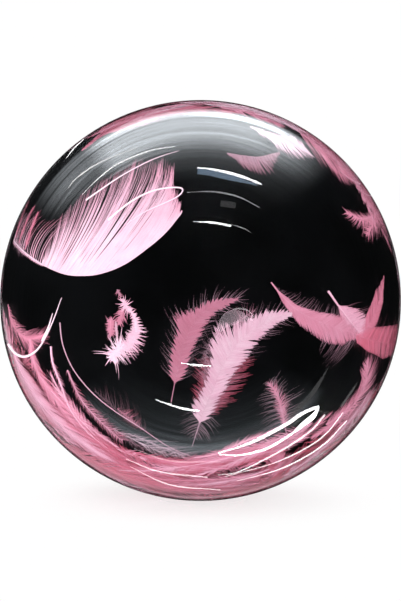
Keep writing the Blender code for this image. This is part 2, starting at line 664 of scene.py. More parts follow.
@dataclass
class Plumage:
    """A set of feathers that becomes one piece.

    Args:
        name: The piece's name.
        barb_gap: The distance between two barbs along a shaft.
        barb_width: A barb's width at its root.
        barb_points: How many points a barb has along it.
        tuft_length: How much shaft the barbs of one tuft take up.
        tuft_pull: How far a tuft's tips close up, from 0 to 1.
        seed: The seed of the barbs' chances.
        feathers: The feathers.
    """

    name: str
    barb_gap: float
    barb_width: float
    barb_points: int
    tuft_length: float
    tuft_pull: float
    seed: int
    feathers: list[Feather]

    STEP = 0.014
    SHAFT_TAPER = 0.8
    GIVEN = ("tint", "fluff", "curl", "fade", "dye_and_painted_shade", "depth", "sag")
    KEPT = ("tint", "barb_along", "quill", "chance_tone", "fade", "dye_and_painted_shade", "sharp_face", "material_index")

    def shaft_lines(self, ball: Ball, room_depth: float) -> bpy.types.Object:
        """Makes the open lines that the barbs grow from.

        Args:
            ball: The ball.
            room_depth: The film's thickness and the play under it.

        Returns:
            An object whose points carry each feather's shape as attributes.
        """
        places: list[Vector] = []
        edges: list[tuple[int, int]] = []
        values: dict[str, list[float]] = {}
        for feather in self.feathers:
            walked = feather.walk(self.STEP)
            first = len(places)
            for number, direction in enumerate(walked):
                share = number / (len(walked) - 1)
                shape = feather.vane_at(share)
                place = ball.at(direction, room_depth + feather.depth)
                place.z = max(place.z, room_depth + feather.shaft)
                places.append(place)
                point = {name: getattr(feather, name) for name in self.GIVEN}
                point["reach_left"], point["reach_right"] = shape.left, shape.right
                point["sweep"] = math.radians(shape.sweep)
                point["shaft"] = feather.shaft * (1 - self.SHAFT_TAPER * share)
                for name, value in point.items():
                    values.setdefault(name, []).append(value)
            edges += [(spot, spot + 1) for spot in range(first, len(places) - 1)]
        mesh = bpy.data.meshes.new(self.name + "_shafts")
        mesh.from_pydata(places, edges, [])
        for name, numbers in values.items():
            mesh.attributes.new(name, "FLOAT", "POINT").data.foreach_set("value", numbers)
        return link_piece(self.name + "_shafts", mesh)

    def build(
        self, ball: Ball, room_depth: float, tree: BarbTree, finish: bpy.types.Material
    ) -> bpy.types.Object:
        """Grows the barbs and keeps the result as a plain mesh.

        Args:
            ball: The ball.
            room_depth: The film's thickness and the play under it.
            tree: The geometry tree that grows the barbs.
            finish: The feathers' material.

        Returns:
            The finished piece.
        """
        lines = self.shaft_lines(ball, room_depth)
        grow = lines.modifiers.new("barbs", "NODES")
        grow.node_group = tree.tree
        settings = {
            "Barb gap": self.barb_gap,
            "Barb width": self.barb_width,
            "Barb points": self.barb_points,
            "Tuft length": self.tuft_length,
            "Tuft pull": self.tuft_pull,
            "Ball centre": ball.centre,
            "Room radius": ball.radius - room_depth,
            "Room floor": room_depth,
            "Seed": self.seed * 10,
            "Finish": finish,
        }
        for socket in tree.tree.interface.items_tree:
            if socket.name in settings:
                grow[socket.identifier] = settings[socket.name]
        graph = bpy.context.evaluated_depsgraph_get()
        mesh = bpy.data.meshes.new_from_object(lines.evaluated_get(graph), depsgraph=graph)
        mesh.name = self.name
        for name in [mark.name for mark in mesh.attributes]:
            mark = mesh.attributes[name]
            if not (mark.is_internal or mark.is_required or name in self.KEPT):
                mesh.attributes.remove(mark)
        lines.modifiers.remove(grow)
        bpy.data.objects.remove(lines)
        return link_piece(self.name, mesh)


def link_piece(name: str, mesh: bpy.types.Mesh) -> bpy.types.Object:
    """Puts a mesh into the scene as a piece at the origin."""
    piece = bpy.data.objects.new(name, mesh)
    bpy.context.scene.collection.objects.link(piece)
    return piece


def shaped_piece(name: str, shape: bmesh.types.BMesh, finish: bpy.types.Material) -> bpy.types.Object:
    """Makes a bmesh a piece with one material.

    Args:
        name: The piece's name.
        shape: The bmesh, which is freed.
        finish: The material.

    Returns:
        The piece.
    """
    mesh = bpy.data.meshes.new(name)
    shape.to_mesh(mesh)
    shape.free()
    mesh.materials.append(finish)
    return link_piece(name, mesh)


def new_material(name: str) -> tuple[bpy.types.Material, NodeGraph, bpy.types.Node]:
    """Starts a material.

    Args:
        name: The material's name.

    Returns:
        The material, its graph and its Principled shader.
    """
    material = bpy.data.materials.new(name)
    material.use_nodes = True
    return material, NodeGraph(material.node_tree), material.node_tree.nodes["Principled BSDF"]


@dataclass(frozen=True)
class FeatherFinish:
    """Dyed feather: pink that deepens towards the barbs' tips, mottled, with a pale shaft. Its colour is also
    scaled darker for darker dye and painted shade, and brighter for painted light.

    Args:
        stops: Colours from the deepest to the palest, with their places on the scale of tints.
        shaft_lift: How much paler the shaft is.
        tone_spread: How much one barb differs from the next.
        blotches: How many blotches there are in a metre.
        blotch_spread: How much the tint changes from one blotch to the next.
        roughness: The vane's roughness.
        sheen: The down's sheen.
        gloss: The vane's specular level.
    """

    stops: tuple[tuple[float, Colour], ...] = (
        (0.0, (0.50, 0.050, 0.095)),
        (0.3, (0.52, 0.130, 0.205)),
        (0.55, (0.66, 0.240, 0.350)),
        (0.8, (0.78, 0.430, 0.560)),
        (1.0, (0.88, 0.640, 0.745)),
    )
    shaft_lift: float = 0.08
    tone_spread: float = 0.045
    blotches: float = 60.0
    blotch_spread: float = 0.2
    roughness: float = 0.62
    sheen: float = 0.12
    gloss: float = 0.25

    def build(self) -> bpy.types.Material:
        """Makes the material.

        Returns:
            The material, which reads the tint, barb and shaft attributes of the feathers.
        """
        material, graph, shader = new_material("pink_feather")
        calc, mark = graph.math, graph.mark
        along = mark("barb_along")
        tone = calc("MULTIPLY_ADD", mark("chance_tone"), self.tone_spread, mark("tint"))
        tone = calc("SUBTRACT", tone, graph.product(along, along, mark("fade")))
        tone = calc("MULTIPLY_ADD", mark("quill"), self.shaft_lift, tone)
        blotch = graph.mottle(graph.object_place(), self.blotches, 3.0)
        blotch = calc("MULTIPLY_ADD", blotch, self.blotch_spread, -self.blotch_spread / 2)
        colour = graph.ramp(self.stops, calc("ADD", tone, blotch))
        # The ramp's colour is scaled down by the feather's darker dye and painted shade, and scaled up where
        # that is below 0, as painted light.
        graph.fill(shader, {
            "Base Color": graph.vector("SCALE", colour, calc("SUBTRACT", 1.0, mark("dye_and_painted_shade"))),
            "Roughness": self.roughness,
            "Sheen Weight": self.sheen,
            "Specular IOR Level": self.gloss,
        })
        return material


class StretchMarks:
    """A shader group for the faint rings that a film keeps where it was blown and stretched.

    It draws noise that is fine from the neck's axis outwards and slow round it.
    """

    NAME = "stretch_marks"
    INPUTS = (
        ("Vector", "Centre", None),
        ("Float", "Rings", 90.0),
        ("Float", "Run", 1.5),
        ("Float", "Size", 0.0001),
    )

    def __init__(self) -> None:
        """Builds the group."""
        self.tree = bpy.data.node_groups.new(self.NAME, "ShaderNodeTree")
        graph = NodeGraph(self.tree)
        graph.interface(("Float", "Height"), *self.INPUTS)
        given = graph.node("NodeGroupInput").outputs
        offset = graph.vector("SUBTRACT", graph.object_place(), given["Centre"])
        parts = graph.parts(graph.vector("NORMALIZE", offset))
        turned = graph.out("ShaderNodeCombineXYZ", {
            axis: graph.product(parts[axis], given[rate])
            for axis, rate in (("X", "Run"), ("Y", "Rings"), ("Z", "Run"))
        })
        height = graph.product(graph.mottle(turned, 1.0, 2.0), given["Size"])
        graph.node("NodeGroupOutput", {0: height})

    def normals(self, graph: NodeGraph, centre: Vector, rings: float, run: float, size: float) -> Socket:
        """Places the group in a material.

        Args:
            graph: The material's graph.
            centre: The middle of the balloon.
            rings: How many rings there are from the front to the neck.
            run: How fast they change round the axis.
            size: How high they are.

        Returns:
            The bumped normals.
        """
        inputs = {"Centre": centre, "Rings": rings, "Run": run, "Size": size}
        height = graph.out("ShaderNodeGroup", inputs, node_tree=self.tree)
        return graph.out("ShaderNodeBump", {"Distance": 1.0, "Height": height})


@dataclass(frozen=True)
class FilmFinish:
    """Clear stretch film: glassy, with faint stretch rings.

    Args:
        colour: The film's own tint.
        refraction: Its index of refraction.
        rings: How many stretch rings there are from the front to the neck.
        ring_run: How fast they change round the axis.
        ring_height: How high they are.
    """

    colour: Colour = (0.97, 0.985, 1.0)
    refraction: float = 1.45
    rings: float = 30.0
    ring_run: float = 1.5
    ring_height: float = 0.000010

    def build(self, ball: Ball, marks: StretchMarks) -> bpy.types.Material:
        """Makes the material.

        Args:
            ball: The ball.
            marks: The group for the stretch rings.

        Returns:
            The material.
        """
        material, graph, shader = new_material("clear_film")
        graph.fill(shader, {
            "Base Color": (*self.colour, 1.0),
            "Roughness": 0.0,
            "IOR": self.refraction,
            "Transmission Weight": 1.0,
            "Normal": marks.normals(graph, ball.centre, self.rings, self.ring_run, self.ring_height),
        })
        return material


@dataclass(frozen=True)
class LatexFinish:
    """Black latex with a soft, slightly cloudy surface.

    Args:
        dark: The deepest black.
        light: The greyer black where the rubber is stretched thin.
        cloud: How many clouds there are in a metre.
        rings: How many stretch rings there are from the front to the neck.
        ring_run: How fast they change round the axis.
        ring_height: How high they are.
        roughness: The roughness where the clouds are darkest, and how much it grows to the lightest.
        gloss: The specular level.
    """

    dark: Colour = (0.0008, 0.0009, 0.0010)
    light: Colour = (0.0022, 0.0024, 0.0028)
    cloud: float = 9.0
    rings: float = 40.0
    ring_run: float = 3.0
    ring_height: float = 0.0002
    roughness: tuple[float, float] = (0.38, 0.2)
    gloss: float = 0.12

    def build(self, ball: Ball, marks: StretchMarks) -> bpy.types.Material:
        """Makes the material.

        Args:
            ball: The ball.
            marks: The group for the stretch rings.

        Returns:
            The material.
        """
        material, graph, shader = new_material("black_latex")
        clouds = graph.mottle(graph.object_place(), self.cloud, 4.0)
        least, growth = self.roughness
        graph.fill(shader, {
            "Base Color": graph.ramp(((0.35, self.dark), (0.75, self.light)), clouds),
            "Roughness": graph.math("MULTIPLY_ADD", clouds, growth, least),
            "Specular IOR Level": self.gloss,
            "Normal": marks.normals(graph, ball.centre, self.rings, self.ring_run, self.ring_height),
        })
        return material


@dataclass
class Film:
    """The clear film: the blown ball, its pleated neck and the welded tab.

    Args:
        ball: The ball.
        thickness: The film's thickness.
        sides: How many sides a ring round the neck's axis has.
        ball_rings: How many rings the ball has.
        flare_rings: How many the flare has.
        press_rings: How many lie where the neck is pressed flat.
        tab_rings: How many the tab has.
        neck_drop: How far the neck points down, in radians.
        flare_radius: The flare's radius where it leaves the ball.
        flare_length: How far the flare reaches from the ball.
        throat_radius: The neck's radius at its narrowest.
        press_length: How long the stretch is over which the neck gets flat.
        tab_length: The tab's length.
        tab_width: The tab's width.
        tab_thickness: The tab's thickness.
        weld_height: How high the weld ridges are.
        weld_gap: The distance from one ridge to the next.
        weld_start: Where the ridges start, as a share of the tab.
        pleats: How many pleats gather round the neck.
        pleat_depth: How deep they are.
        pleat_reach: How far from the axis they die out.
        pleat_run: How far along the neck they die out.
        pleat_ease: The half width under which they get shallower.
        pleat_sway: How unevenly they stand, in radians.
    """

    ball: Ball
    thickness: float = 0.0002
    sides: int = 176
    ball_rings: int = 110
    flare_rings: int = 10
    press_rings: int = 8
    tab_rings: int = 48
    neck_drop: float = math.radians(6.5)
    flare_radius: float = 0.024
    flare_length: float = 0.014
    throat_radius: float = 0.0085
    press_length: float = 0.014
    tab_length: float = 0.034
    tab_width: float = 0.026
    tab_thickness: float = 0.0022
    weld_height: float = 0.0004
    weld_gap: float = 0.0022
    weld_start: float = 0.35
    pleats: int = 15
    pleat_depth: float = 0.0011
    pleat_reach: float = 0.045
    pleat_run: float = 0.03
    pleat_ease: float = 0.012
    pleat_sway: float = 0.8

    def ring_list(self) -> Iterator[tuple[float, float, float]]:
        """Gives (distance along the axis from the centre, half width, half thickness) of each ring."""
        radius = self.ball.radius
        mouth = math.asin(self.flare_radius / radius)
        for number in range(1, self.ball_rings + 1):
            polar = (math.pi - mouth) * number / self.ball_rings
            across = radius * math.sin(polar)
            yield -radius * math.cos(polar), across, across
        lip = radius * math.cos(mouth)
        flare = radius + self.flare_length - lip
        for number in range(1, self.flare_rings + 1):
            turn = math.pi / 2 * number / self.flare_rings
            across = self.flare_radius - (self.flare_radius - self.throat_radius) * math.sin(turn)
            yield lip + flare * (1 - math.cos(turn)), across, across
        start = radius + self.flare_length
        for number in range(1, self.press_rings + 1):
            share = number / self.press_rings
            ease = eased(share, 0.0, 1.0)
            wide = self.throat_radius + (self.tab_width / 2 - self.throat_radius) * ease
            thick = self.throat_radius + (self.tab_thickness / 2 - self.throat_radius) * ease
            yield start + self.press_length * share, wide, thick
        start += self.press_length
        for number in range(1, self.tab_rings + 1):
            along = self.tab_length * number / self.tab_rings
            ridge = math.sin(math.pi * along / self.weld_gap) ** 2
            welded = ridge if along > self.tab_length * self.weld_start else 0.5
            yield start + along, self.tab_width / 2, self.tab_thickness / 2 - self.weld_height * (1 - welded)

    def ring_points(self, distance: float, half_width: float, half_thickness: float) -> list[Vector]:
        """Places one ring's corners, with the pleats that gather towards the neck.

        Args:
            distance: How far the ring lies along the axis from the ball's centre.
            half_width: Half of its width.
            half_thickness: Half of its thickness.

        Returns:
            The corners.
        """
        points = []
        reach = half_width - half_thickness
        from_neck = abs(distance - self.ball.radius)
        gathered = math.exp(-((half_width / self.pleat_reach) ** 2)) if distance > 0 else 0.0
        gathered *= math.exp(-((from_neck / self.pleat_run) ** 2)) if distance > self.ball.radius else 1.0
        for side in range(self.sides):
            angle = 2 * math.pi * (side + 0.5) / self.sides
            wave = 0.5 + 0.5 * math.cos(self.pleats * angle + self.pleat_sway * math.sin(3 * angle))
            inward = self.pleat_depth * gathered * wave * min(1.0, half_thickness / self.throat_radius)
            end = reach if math.cos(angle) > 0 else -reach
            size = half_thickness - inward * min(1.0, half_width / self.pleat_ease)
            points.append(Vector((end + size * math.cos(angle), distance, size * math.sin(angle))))
        return points

    def build(self, finish: bpy.types.Material) -> bpy.types.Object:
        """Makes the film.

        Args:
            finish: Its material.

        Returns:
            The finished piece.
        """
        shape = bmesh.new()
        rings = [[shape.verts.new(point) for point in self.ring_points(*ring)] for ring in self.ring_list()]
        front = shape.verts.new((0.0, -self.ball.radius, 0.0))
        for side in range(self.sides):
            shape.faces.new((front, rings[0][side], rings[0][(side + 1) % self.sides]))
        for inner, outer in zip(rings, rings[1:]):
            for side in range(self.sides):
                after = (side + 1) % self.sides
                shape.faces.new((inner[side], inner[after], outer[after], outer[side]))
        end = rings[-1]
        for side in range(self.sides // 2 - 1):
            shape.faces.new((end[side], end[side + 1], end[-2 - side], end[-1 - side]))
        bmesh.ops.recalc_face_normals(shape, faces=shape.faces)
        place = Matrix.Translation(self.ball.centre) @ Matrix.Rotation(-self.neck_drop, 4, "X")
        bmesh.ops.transform(shape, matrix=place, verts=shape.verts)
        for corner in shape.verts:
            corner.co.z = max(corner.co.z, 0.0)
        film = shaped_piece("film_bubble", shape, finish)
        film.data.shade_smooth()
        film.data.set_sharp_from_angle(angle=math.radians(60))
        wall = film.modifiers.new("wall", "SOLIDIFY")
        wall.thickness = self.thickness
        wall.offset = -1.0
        return film


@dataclass
class FeatherBed:
    """The deep layer of feathers along the bottom and up the sides, and where it ends.

    Args:
        ball: The ball.
        edge: (azimuth in degrees, height) pairs: the bed's upper edge, with azimuth 0 at the front,
            positive to the right, and the height as a share of the ball's radius above its centre.
        depth: How thick the bed is well below its edge.
        fall: How far below its edge it has its full depth, as a share of the radius.
        openings: (azimuth, height) of the places that the feathers leave open.
        opening_radius: How far the shafts stay away from those places, as a share of the radius.
    """

    ball: Ball
    edge: Table = (
        (-180.0, -0.35), (-130.0, -0.15), (-95.0, 0.06), (-77.0, -0.01), (-71.0, -0.07), (-54.0, -0.22),
        (-42.0, -0.41), (-37.0, -0.55), (-33.0, -0.64), (-24.0, -0.69), (-14.0, -0.725), (-2.0, -0.735),
        (7.0, -0.71), (17.0, -0.65), (30.0, -0.575), (40.0, -0.535), (51.0, -0.52), (60.0, -0.48),
        (75.0, -0.37), (95.0, -0.28), (130.0, -0.32), (180.0, -0.35),
    )
    depth: float = 0.012
    fall: float = 0.18
    openings: Table = (
        (8.0, -0.78), (24.0, -0.755), (38.0, -0.69), (47.0, -0.62), (68.0, -0.55), (-54.0, -0.27),
    )
    opening_radius: float = 0.07

    def edge_at(self, direction: Vector) -> float:
        """Gives the height of the bed's edge on the side that a direction points to."""
        return blend(self.edge, math.degrees(math.atan2(direction.x, -direction.y)))

    def overtopped_by(self, path: Sequence[Vector], margin: float) -> bool:
        """Tells whether a path anywhere rises above the bed's edge by more than a margin."""
        return any(direction.z > self.edge_at(direction) + margin for direction in path)

    def opened_by(self, path: Sequence[Vector]) -> bool:
        """Tells whether a path anywhere comes close to a place that stays open."""
        places = [towards(math.radians(azimuth), height) for azimuth, height in self.openings]
        return any((spot - place).length < self.opening_radius for place in places for spot in path)

    def thickness_at(self, direction: Vector) -> float:
        """Gives how thick the bed is in a direction from the centre."""
        below = min(1.0, max(0.0, (self.edge_at(direction) - direction.z) / self.fall))
        return self.depth * below * below * (3 - 2 * below)


@dataclass
class InnerBalloon:
    """The black balloon that fills the film, pushed back where the feathers lie deep.

    Args:
        ball: The ball.
        bed: The bed of feathers, which gives the deeper places.
        clearance: From the film's outer skin to the rubber where few feathers lie.
        floor: How low its underside lies.
        columns: How many sides it has.
        rows: How many rows of faces from pole to pole.
    """

    ball: Ball
    bed: FeatherBed
    clearance: float = 0.0019
    floor: float = 0.002
    columns: int = 128
    rows: int = 96

    def build(self, finish: bpy.types.Material) -> bpy.types.Object:
        """Makes the inner balloon.

        Args:
            finish: Its material.

        Returns:
            The finished piece.
        """
        shape = bmesh.new()
        bmesh.ops.create_uvsphere(shape, u_segments=self.columns, v_segments=self.rows, radius=1.0)
        for corner in shape.verts:
            direction = corner.co.normalized()
            corner.co = self.ball.at(direction, self.clearance + self.bed.thickness_at(direction))
            corner.co.z = max(corner.co.z, self.floor)
        bmesh.ops.recalc_face_normals(shape, faces=shape.faces)
        balloon = shaped_piece("inner_balloon", shape, finish)
        balloon.data.shade_smooth()
        return balloon


def towards(azimuth: float, height: float) -> Vector:
    """Gives the unit direction at an azimuth, 0 at the front and growing to the right, and a height."""
    flat = math.sqrt(1 - height * height)
    return Vector((flat * math.sin(azimuth), -flat * math.cos(azimuth), height))


def across_front(direction: Vector) -> Vector:
    """Gives the direction that runs round the line of sight, as the ball's outline does."""
    return Vector((0.0, 1.0, 0.0)).cross(direction).normalized()


def wander(start: Vector, heading: Vector, length: float, bend: float, knots: int = 5) -> tuple[Vector, ...]:
    """Walks round the unit sphere.

    Args:
        start: The middle of the walk, were it straight.
        heading: The way it runs there.
        length: The whole walk, in radians.
        bend: How far it turns sideways over its length, in radians.
        knots: How many directions it returns.

    Returns:
        Unit directions from one end to the other.
    """
    heading = (heading - start * heading.dot(start)).normalized()
    back = Matrix.Rotation(-length / 2, 3, start.cross(heading))
    spot, facing = back @ start, back @ heading
    walked = [spot.copy()]
    for _ in range(knots - 1):
        facing = Matrix.Rotation(bend / (knots - 1), 3, spot) @ facing
        onward = Matrix.Rotation(length / (knots - 1), 3, spot.cross(facing))
        spot, facing = onward @ spot, onward @ facing
        walked.append(spot.copy())
    return tuple(walked)


@dataclass
class FrontFeathers:
    """The single feathers that show over the front, each in its own place.

    Args:
        view: The camera, which places them.
    """

    view: Viewpoint

    # How far out the marks are set, as a share of the ball's radius
    LEVEL = 0.997

    def path(self, *marks: Mark) -> tuple[Vector, ...]:
        """Turns marks of the picture into directions from the ball's centre, for just under its skin."""
        radius = self.view.ball.radius * self.LEVEL
        return tuple(self.view.direction_to(place, radius) for place in shares(marks))

    def all(self) -> list[Plumage]:
        """Gives the front feathers, one set for each piece."""
        makers = (
            self.long_plume, self.plume_lashes, self.folded_barbs, self.ring_feather, self.tail_pair,
            self.crossed_wings, self.crown_feathers, self.side_tufts, self.bent_quills, self.low_fan,
            self.low_arcs, self.rim_feathers, self.down, self.loose_hairs,
        )
        return [make() for make in makers]

    def long_plume(self) -> Plumage:
        """The long plume at the upper left, with its barbs swept up to the right."""
        plume = Feather(
            self.path(
                (-930, 300), (-820, 200), (-690, 137), (-580, 125), (-480, 140), (-370, 187), (-250, 274),
                (-170, 345), (-100, 430),
            ),
            vane(
                (0.0, 0, 4, 110), (0.315, 0, 3, 90), (0.33, 56, 1, 78), (0.42, 130, 1, 66), (0.5, 194, 1, 55),
                (0.58, 222, 1, 44), (0.67, 212, 1, 32), (0.78, 132, 2, 20), (0.89, 66, 3, 12),
                (1.0, 10, 3, 10),
            ),
            tint=0.92, dye_and_painted_shade=0.13, fluff=0.08, curl=-0.4, fade=0.3, shaft=0.0007,
        )
        return Plumage("long_plume", 0.00045, 0.0012, 16, 0.0040, 0.95, 3, [plume])

    def plume_lashes(self) -> Plumage:
        """The loose curved barbs at the root of the long plume."""
        lashes = Feather(
            self.path((-930, 300), (-880, 245), (-800, 190)),
            vane((0.0, 42, 5, 120), (0.5, 50, 3, 118), (1.0, 56, 1, 104)),
            tint=0.80, fluff=0.3, curl=0.55, fade=0.3, shaft=0.0006,
        )
        return Plumage("plume_lashes", 0.0040, 0.0014, 12, 0.0066, 0.4, 4, [lashes])

    def folded_barbs(self) -> Plumage:
        """The stray barbs that fold back over the long plume."""
        thin = plain_vane(0.0015, 40)
        loop = Feather(
            self.path(
                (-460, 400), (-350, 490), (-250, 542), (-155, 562), (-92, 558), (-105, 525), (-170, 490),
                (-280, 440), (-370, 380),
            ),
            thin, tint=1.0, shaft=0.0013, depth=0.0,
        )
        line = Feather(
            self.path((-570, 500), (-500, 550), (-404, 615), (-312, 667), (-220, 710), (-110, 745)),
            thin, tint=1.0, shaft=0.0010, depth=0.0,
        )
        return Plumage("folded_barbs", 0.0012, 0.0007, 4, 0.006, 0.3, 5, [loop, line])

    def ring_feather(self) -> Plumage:
        """The small fluffy feather that curls into a ring, round two duller tufts."""
        top = Feather(
            self.path((-416, 55), (-397, 20)),
            plain_vane(4 * MM, 60, 0.02), tint=0.6, dye_and_painted_shade=0.5, fluff=1.5, curl=0.0, fade=0.1,
        )
        hub = Feather(
            self.path((-362, -40), (-387, -5)),
            burst(7 * MM), tint=0.8, dye_and_painted_shade=0.15, fluff=1.5, curl=0.0, fade=0.2, shaft=0.0003,
        )
        arm = Feather(
            self.path((-362, -40), (-337, -70), (-319, -120), (-322, -175), (-352, -219), (-397, -249)),
            vane((0.0, 3, 2, 80), (0.25, 5, 4, 86), (0.45, 9, 8, 92), (0.7, 11, 10, 98), (1.0, 12, 9, 90)),
            tint=0.84, dye_and_painted_shade=0.16, fluff=1.5, curl=0.0, fade=0.1, shaft=0.0003,
        )
        end = Feather(
            self.path((-401, -234), (-421, -257), (-441, -279)),
            burst(15 * MM), tint=0.92, dye_and_painted_shade=0.1, fluff=1.5, curl=0.0, fade=0.1, shaft=0.0003,
        )
        heart = Feather(
            self.path((-382, -219), (-411, -249), (-436, -299)),
            plain_vane(10 * MM, 76, 0.02), tint=0.92, dye_and_painted_shade=0.1, fluff=0.8, curl=0.0, fade=0.0, depth=0.0005,
        )
        core = Feather(
            self.path((-322, -105), (-327, -165), (-362, -214), (-401, -254)),
            plain_vane(6 * MM, 76, 0.02), tint=0.86, dye_and_painted_shade=0.15, fluff=0.8, curl=0.0, fade=0.0, depth=0.0005,
        )
        upper = Feather(
            self.path((-382, -40), (-397, -75), (-406, -115)),
            plain_vane(7 * MM, 55, 0.02), tint=0.5, dye_and_painted_shade=0.3, fluff=1.2, fade=0.1, depth=0.0008,
        )
        lower = Feather(
            self.path((-449, -100), (-451, -135), (-446, -165)),
            burst(6 * MM), tint=0.5, dye_and_painted_shade=0.25, fluff=1.2, curl=0.0, fade=0.1, depth=0.0008,
        )
        tuft = Feather(
            self.path((-446, -90), (-451, -130), (-446, -170)),
            plain_vane(6 * MM, 70, 0.02), tint=0.5, dye_and_painted_shade=0.27, fluff=0.6, curl=0.0, fade=0.0, depth=0.001,
        )
        stalk = Feather(
            self.path((-424, -105), (-419, -170), (-414, -229)),
            plain_vane(2.5 * MM, 30, 0.02), tint=0.8, dye_and_painted_shade=0.35, fluff=0.8, fade=0.1, depth=0.0009,
        )
        feathers = [top, hub, arm, end, heart, core, upper, lower, tuft, stalk]
        return Plumage("ring_feather", 0.0006, 0.0017, 7, 0.0022, 1.0, 7, feathers)

    def bright_tail(self) -> Feather:
        """The bright upright feather in the middle."""
        return Feather(
            self.path(
                (-42, -728), (2, -589), (27, -524), (62, -444), (97, -354), (142, -274), (197, -204),
                (272, -145), (357, -97), (446, -70),
            ),
            vane(
                (0.0, 0, 0, 90), (0.175, 0, 0, 80), (0.19, 8, 9, 66), (0.235, 16, 12, 60), (0.30, 12, 12, 58),
                (0.40, 13, 15, 56), (0.48, 15, 18, 60), (0.55, 27, 19, 66), (0.60, 31, 19, 64),
                (0.66, 21, 18, 56), (0.72, 17, 15, 48), (0.80, 15, 12, 44), (0.90, 11, 8, 36),
                (1.0, 5, 4, 16),
            ),
            tint=0.86, dye_and_painted_shade=0.27, fluff=0.3, curl=0.1, fade=0.05, shaft=0.0002,
        )

    def dim_tail(self) -> Feather:
        """The duller feather beside it, a little further back, darkened by painted shade."""
        return Feather(
            self.path(
                (-147, -509), (-126, -399), (-112, -339), (-97, -259), (-67, -180), (-37, -115), (7, -65),
                (67, -25), (177, 5),
            ),
            vane(
                (0.0, 0, 0, 80), (0.15, 0, 0, 80), (0.17, 8, 8, 62), (0.24, 11, 11, 58), (0.36, 12, 12, 55),
                (0.47, 13, 13, 56), (0.54, 23, 14, 62), (0.61, 14, 14, 58), (0.68, 9, 12, 52),
                (0.82, 7, 9, 44), (1.0, 3, 3, 14),
            ),
            tint=0.52, dye_and_painted_shade=0.4, fluff=0.4, curl=0.1, fade=0.0, shaft=0.0005, depth=0.0009,
        )

    def tail_pair(self) -> Plumage:
        """The two upright feathers in the middle, the duller one behind the bright one, and the down between,
        both darkened by painted shade.
        """
        # Dark rose down under the bright feather's right side; its darkness is painted shade.
        shaded = Feather(
            self.path((12, -564), (62, -444), (97, -354), (132, -289)),
            vane((0.0, 8, 14, 70), (0.25, 18, 24, 68), (0.6, 24, 28, 66), (1.0, 14, 24, 56)),
            tint=0.5, dye_and_painted_shade=0.55, fluff=0.8, curl=0.0, fade=0.45, shaft=0.0001, depth=0.0014,
        )
        feathers = [self.bright_tail(), self.dim_tail(), shaded]
        return Plumage("tail_pair", 0.00042, 0.0026, 8, 0.0050, 0.9, 11, feathers)

    def loose_hairs(self) -> Plumage:
        """The fine hairs that stand out round the front feathers."""
        bright = self.bright_tail()
        beard = Feather(
            self.path((-27, -683), (-7, -628), (12, -564)),
            vane((0.0, 4, 4, 120), (0.6, 16, 18, 110), (1.0, 18, 20, 84)),
            tint=0.9, dye_and_painted_shade=0.55, fluff=0.8, curl=-0.6, fade=0.0, shaft=0.0001, depth=0.0006,
        )
        long_wing, needle, _, rim_wing = self.wings()
        hanging = replace(
            long_wing,
            stations=vane(
                (0.0, 0, 0, 60), (0.3, 22, 0, 50), (0.55, 22, 14, 56), (0.75, 24, 34, 86), (1.0, 10, 40, 100),
            ),
            tint=0.75, dye_and_painted_shade=0.5, fluff=0.7, curl=-0.3, fade=0.0, shaft=0.0001, depth=0.0009,
        )
        downy = Feather(
            self.path((416, -603), (387, -484), (347, -419)),
            vane((0.0, 22, 20, 74), (0.4, 28, 26, 62), (1.0, 14, 16, 42)),
            tint=0.9, dye_and_painted_shade=0.5, fluff=0.8, curl=-0.35, fade=0.0, shaft=0.0001, depth=0.0006,
        )
        veil = Feather(
            self.path((-441, -638), (-327, -698), (-202, -753), (-42, -793)),
            vane((0.0, 8, 8, 40), (0.5, 22, 10, 30), (1.0, 14, 6, 24)),
            tint=0.95, dye_and_painted_shade=0.3, fluff=1.6, curl=0.3, fade=0.0, shaft=0.0001, depth=0.0006,
        )
        feathers = [bright.hairs(5 * MM, 0.85), self.dim_tail().hairs(8 * MM, 0.85), beard, hanging, downy]
        feathers += [veil, needle.hairs(7 * MM, 0.6), rim_wing.hairs(5 * MM, 0.4)]
        return Plumage("loose_hairs", 0.0017, 0.00042, 7, 0.005, 0.5, 37, feathers)

    def wings(self) -> tuple[Feather, ...]:
        """The long wing, the needle, the blade and the wing that runs over the right edge."""
        long_wing = Feather(
            self.path((353, 90), (405, 25), (471, -40), (546, -85), (636, -122), (721, -150), (786, -170)),
            vane(
                (0.0, 0.5, 0.5, 26), (0.07, 1.5, 1.5, 26), (0.18, 8, 12, 28), (0.34, 16, 23, 32),
                (0.53, 21, 29, 36), (0.72, 24, 24, 40), (0.88, 14, 12, 40), (1.0, 5, 4, 40),
            ),
            tint=0.56, dye_and_painted_shade=0.18, fluff=0.12, curl=-0.12, fade=0.05,
        )
        needle = Feather(
            self.path((637, 46), (687, -25), (736, -90), (796, -165)),
            vane(
                (0.0, 0, 0, 50), (0.26, 0, 0, 50), (0.34, 14, 6, 55), (0.5, 22, 9, 60), (0.8, 24, 10, 60),
                (1.0, 14, 8, 60),
            ),
            tint=0.70, dye_and_painted_shade=0.12, fluff=0.3, fade=0.1, shaft=0.0014,
        )
        blade = Feather(
            self.path((800, -175), (855, -95), (885, -20), (903, 50), (914, 116)),
            vane((0.0, 10, 8, 60), (0.22, 17, 14, 56), (0.5, 17, 13, 46), (0.75, 10, 8, 30), (1.0, 2, 2, 8)),
            tint=0.36, fluff=0.08, fade=0.05,
        )
        # Painted light: its colour is made brighter than its dye, where the right outline gets little light.
        rim_wing = Feather(
            self.path((776, -170), (835, -192), (905, -209), (970, -224)),
            vane(
                (0.0, 10, 10, 60), (0.25, 17, 15, 66), (0.55, 21, 18, 72), (0.78, 25, 14, 70),
                (1.0, 6, 5, 20),
            ),
            tint=0.26, dye_and_painted_shade=-0.12, fluff=0.05, fade=0.05,
        )
        return long_wing, needle, blade, rim_wing

    def crossed_wings(self) -> Plumage:
        """The pointed feathers that cross at the right edge."""
        return Plumage("crossed_wings", 0.0005, 0.0020, 7, 0.0022, 0.3, 13, list(self.wings()))

